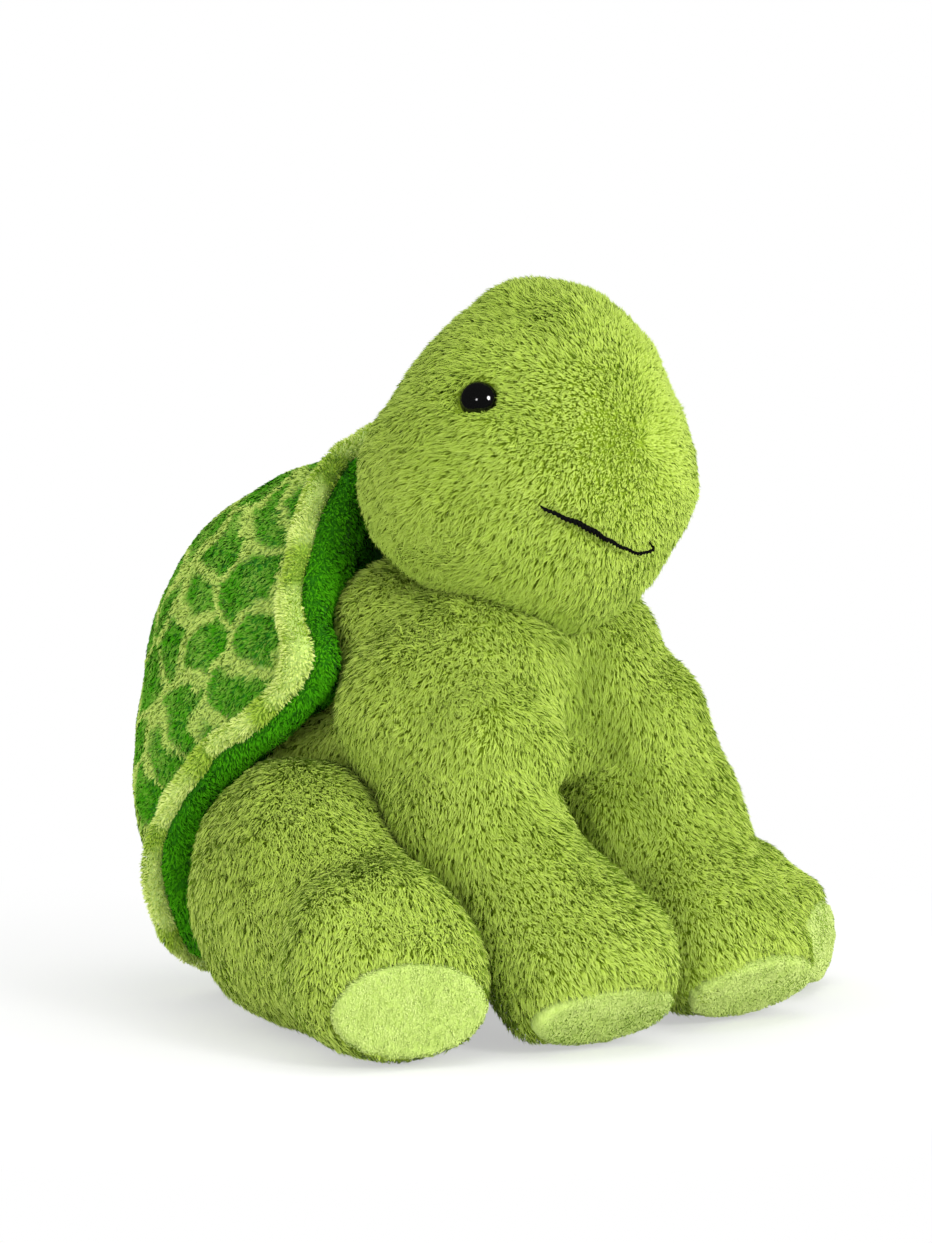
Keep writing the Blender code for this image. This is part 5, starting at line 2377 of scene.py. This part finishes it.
EYE_DENTS = tuple(
    ((side.value * x, y, z), radius, depth)
    for side in Side
    for x, y, z, radius, depth in (
        (0.0592, -0.0923, 0.2606, 0.0095, 0.0016),
        (0.0520, -0.1010, 0.2700, 0.0055, 0.0060),
        (0.0552, -0.0958, 0.2705, 0.0062, -0.0034),
        (0.0594, -0.0889, 0.2705, 0.0062, -0.0030),
        (0.0582, -0.0973, 0.2505, 0.0062, -0.0030),
        (0.0622, -0.0903, 0.2505, 0.0062, -0.0028),
    )
)
PAW_TURNS = {Side.RIGHT: -13.0, Side.LEFT: -7.0}
HIND_SAGS = {Side.RIGHT: 0.0, Side.LEFT: 0.17}
FORELEG_DENTS = {
    Side.RIGHT: (
        ((-0.0250, -0.1170, 0.0900), 0.023, 0.0080),
        ((-0.0230, -0.1460, 0.0480), 0.019, -0.0050),
    ),
    Side.LEFT: (
        ((0.0700, -0.1180, 0.0980), 0.026, -0.0058),
        ((0.0700, -0.1590, 0.0510), 0.021, 0.0050),
    ),
}


def foreleg(side: Side) -> Limb:
    """A foreleg, whose paw turns and bulges a little as the photographed toy's does.

    Args:
        side: the side that it is on.

    Returns:
        The leg, not yet made.
    """
    x, name = side.value, LegKind.FORE.leg(side)
    line = (
        (x * 0.048, -0.080, 0.160),
        (x * 0.048, -0.085, 0.080),
        (x * 0.047, -0.135, 0.034),
        (x * 0.047, -0.160, 0.010),
    )
    return Limb(
        name,
        name,
        (f"{name}_skin", f"{name}_filling"),
        LONG,
        20 + x,
        dents=FORELEG_DENTS[side],
        line=line,
        shoulder_slim=0.0045,
        turn=PAW_TURNS[side],
        pivot=(x * 0.047, -0.122),
    )


def hind_leg(side: Side) -> Limb:
    """A hind leg, whose pile falls steeply over the thigh.

    Args:
        side: the side that it is on.

    Returns:
        The leg, not yet made.
    """
    x, name = side.value, LegKind.HIND.leg(side)
    line = ((x * 0.078, 0.04, 0.07), (x * 0.085, -0.02, 0.055), (x * 0.138, -0.13, 0.03))
    return Limb(
        name,
        name,
        (f"{name}_skin", f"{name}_filling"),
        FLAT,
        30 + x,
        line=line,
        down=1.9,
        sag=HIND_SAGS[side],
    )


def stuffed_parts() -> list[StuffedPart]:
    """Lists the stuffed parts with long pile.

    Returns:
        The parts, in the order in which they are made.
    """
    torso = StuffedPart(
        "torso",
        "torso",
        ("torso_skin", "torso_filling"),
        LONG,
        11,
        balls=SHOULDERS,
        fillet=0.018,
        dents=CHEST_DENTS,
    )
    neck = StuffedPart("neck", "neck", ("neck_filling",), LONG, 12)
    head = Head("head", "head", ("head_skin", "head_filling"), LONG, 13, dents=EYE_DENTS)
    legs = [build(side) for side in Side for build in (foreleg, hind_leg)]
    return [torso, neck, head, *legs]


def main() -> None:
    """Builds the turtle's pieces in order and reports each."""
    logging.basicConfig(level=logging.INFO, format="%(message)s")
    Studio().build()
    finishes = {finish.name: finish.build() for finish in FINISHES}
    parts = stuffed_parts()
    for part in parts:
        part.form()
    shell = Shell()
    shell.form()
    by_name = {part.name: part for part in parts}
    pads = [Pad(kind, side, by_name[kind.leg(side)]) for kind in LegKind for side in Side]
    for pad in pads:
        pad.build(finishes)
    eyes = [Eye(side) for side in Side]
    for eye in eyes:
        eye.build(finishes)
    mouth = Mouth()
    mouth.build(finishes)
    shells = (shell.body, shell.roll, shell.front)
    everything = tree_of(*shells, *(part.cloth for part in parts))
    for pad in pads:
        pad.leg.bare += pad.clearings()
    for piece in (*eyes, mouth):
        by_name["head"].bare += piece.clearings()
    for part in parts:
        others = [other.cloth for other in parts if other is not part and not part.covers(other)]
        part.dress(tree_of(*shells, *others), everything, finishes)
    shell.dress(everything, finishes)


if __name__ == "__main__":
    main()
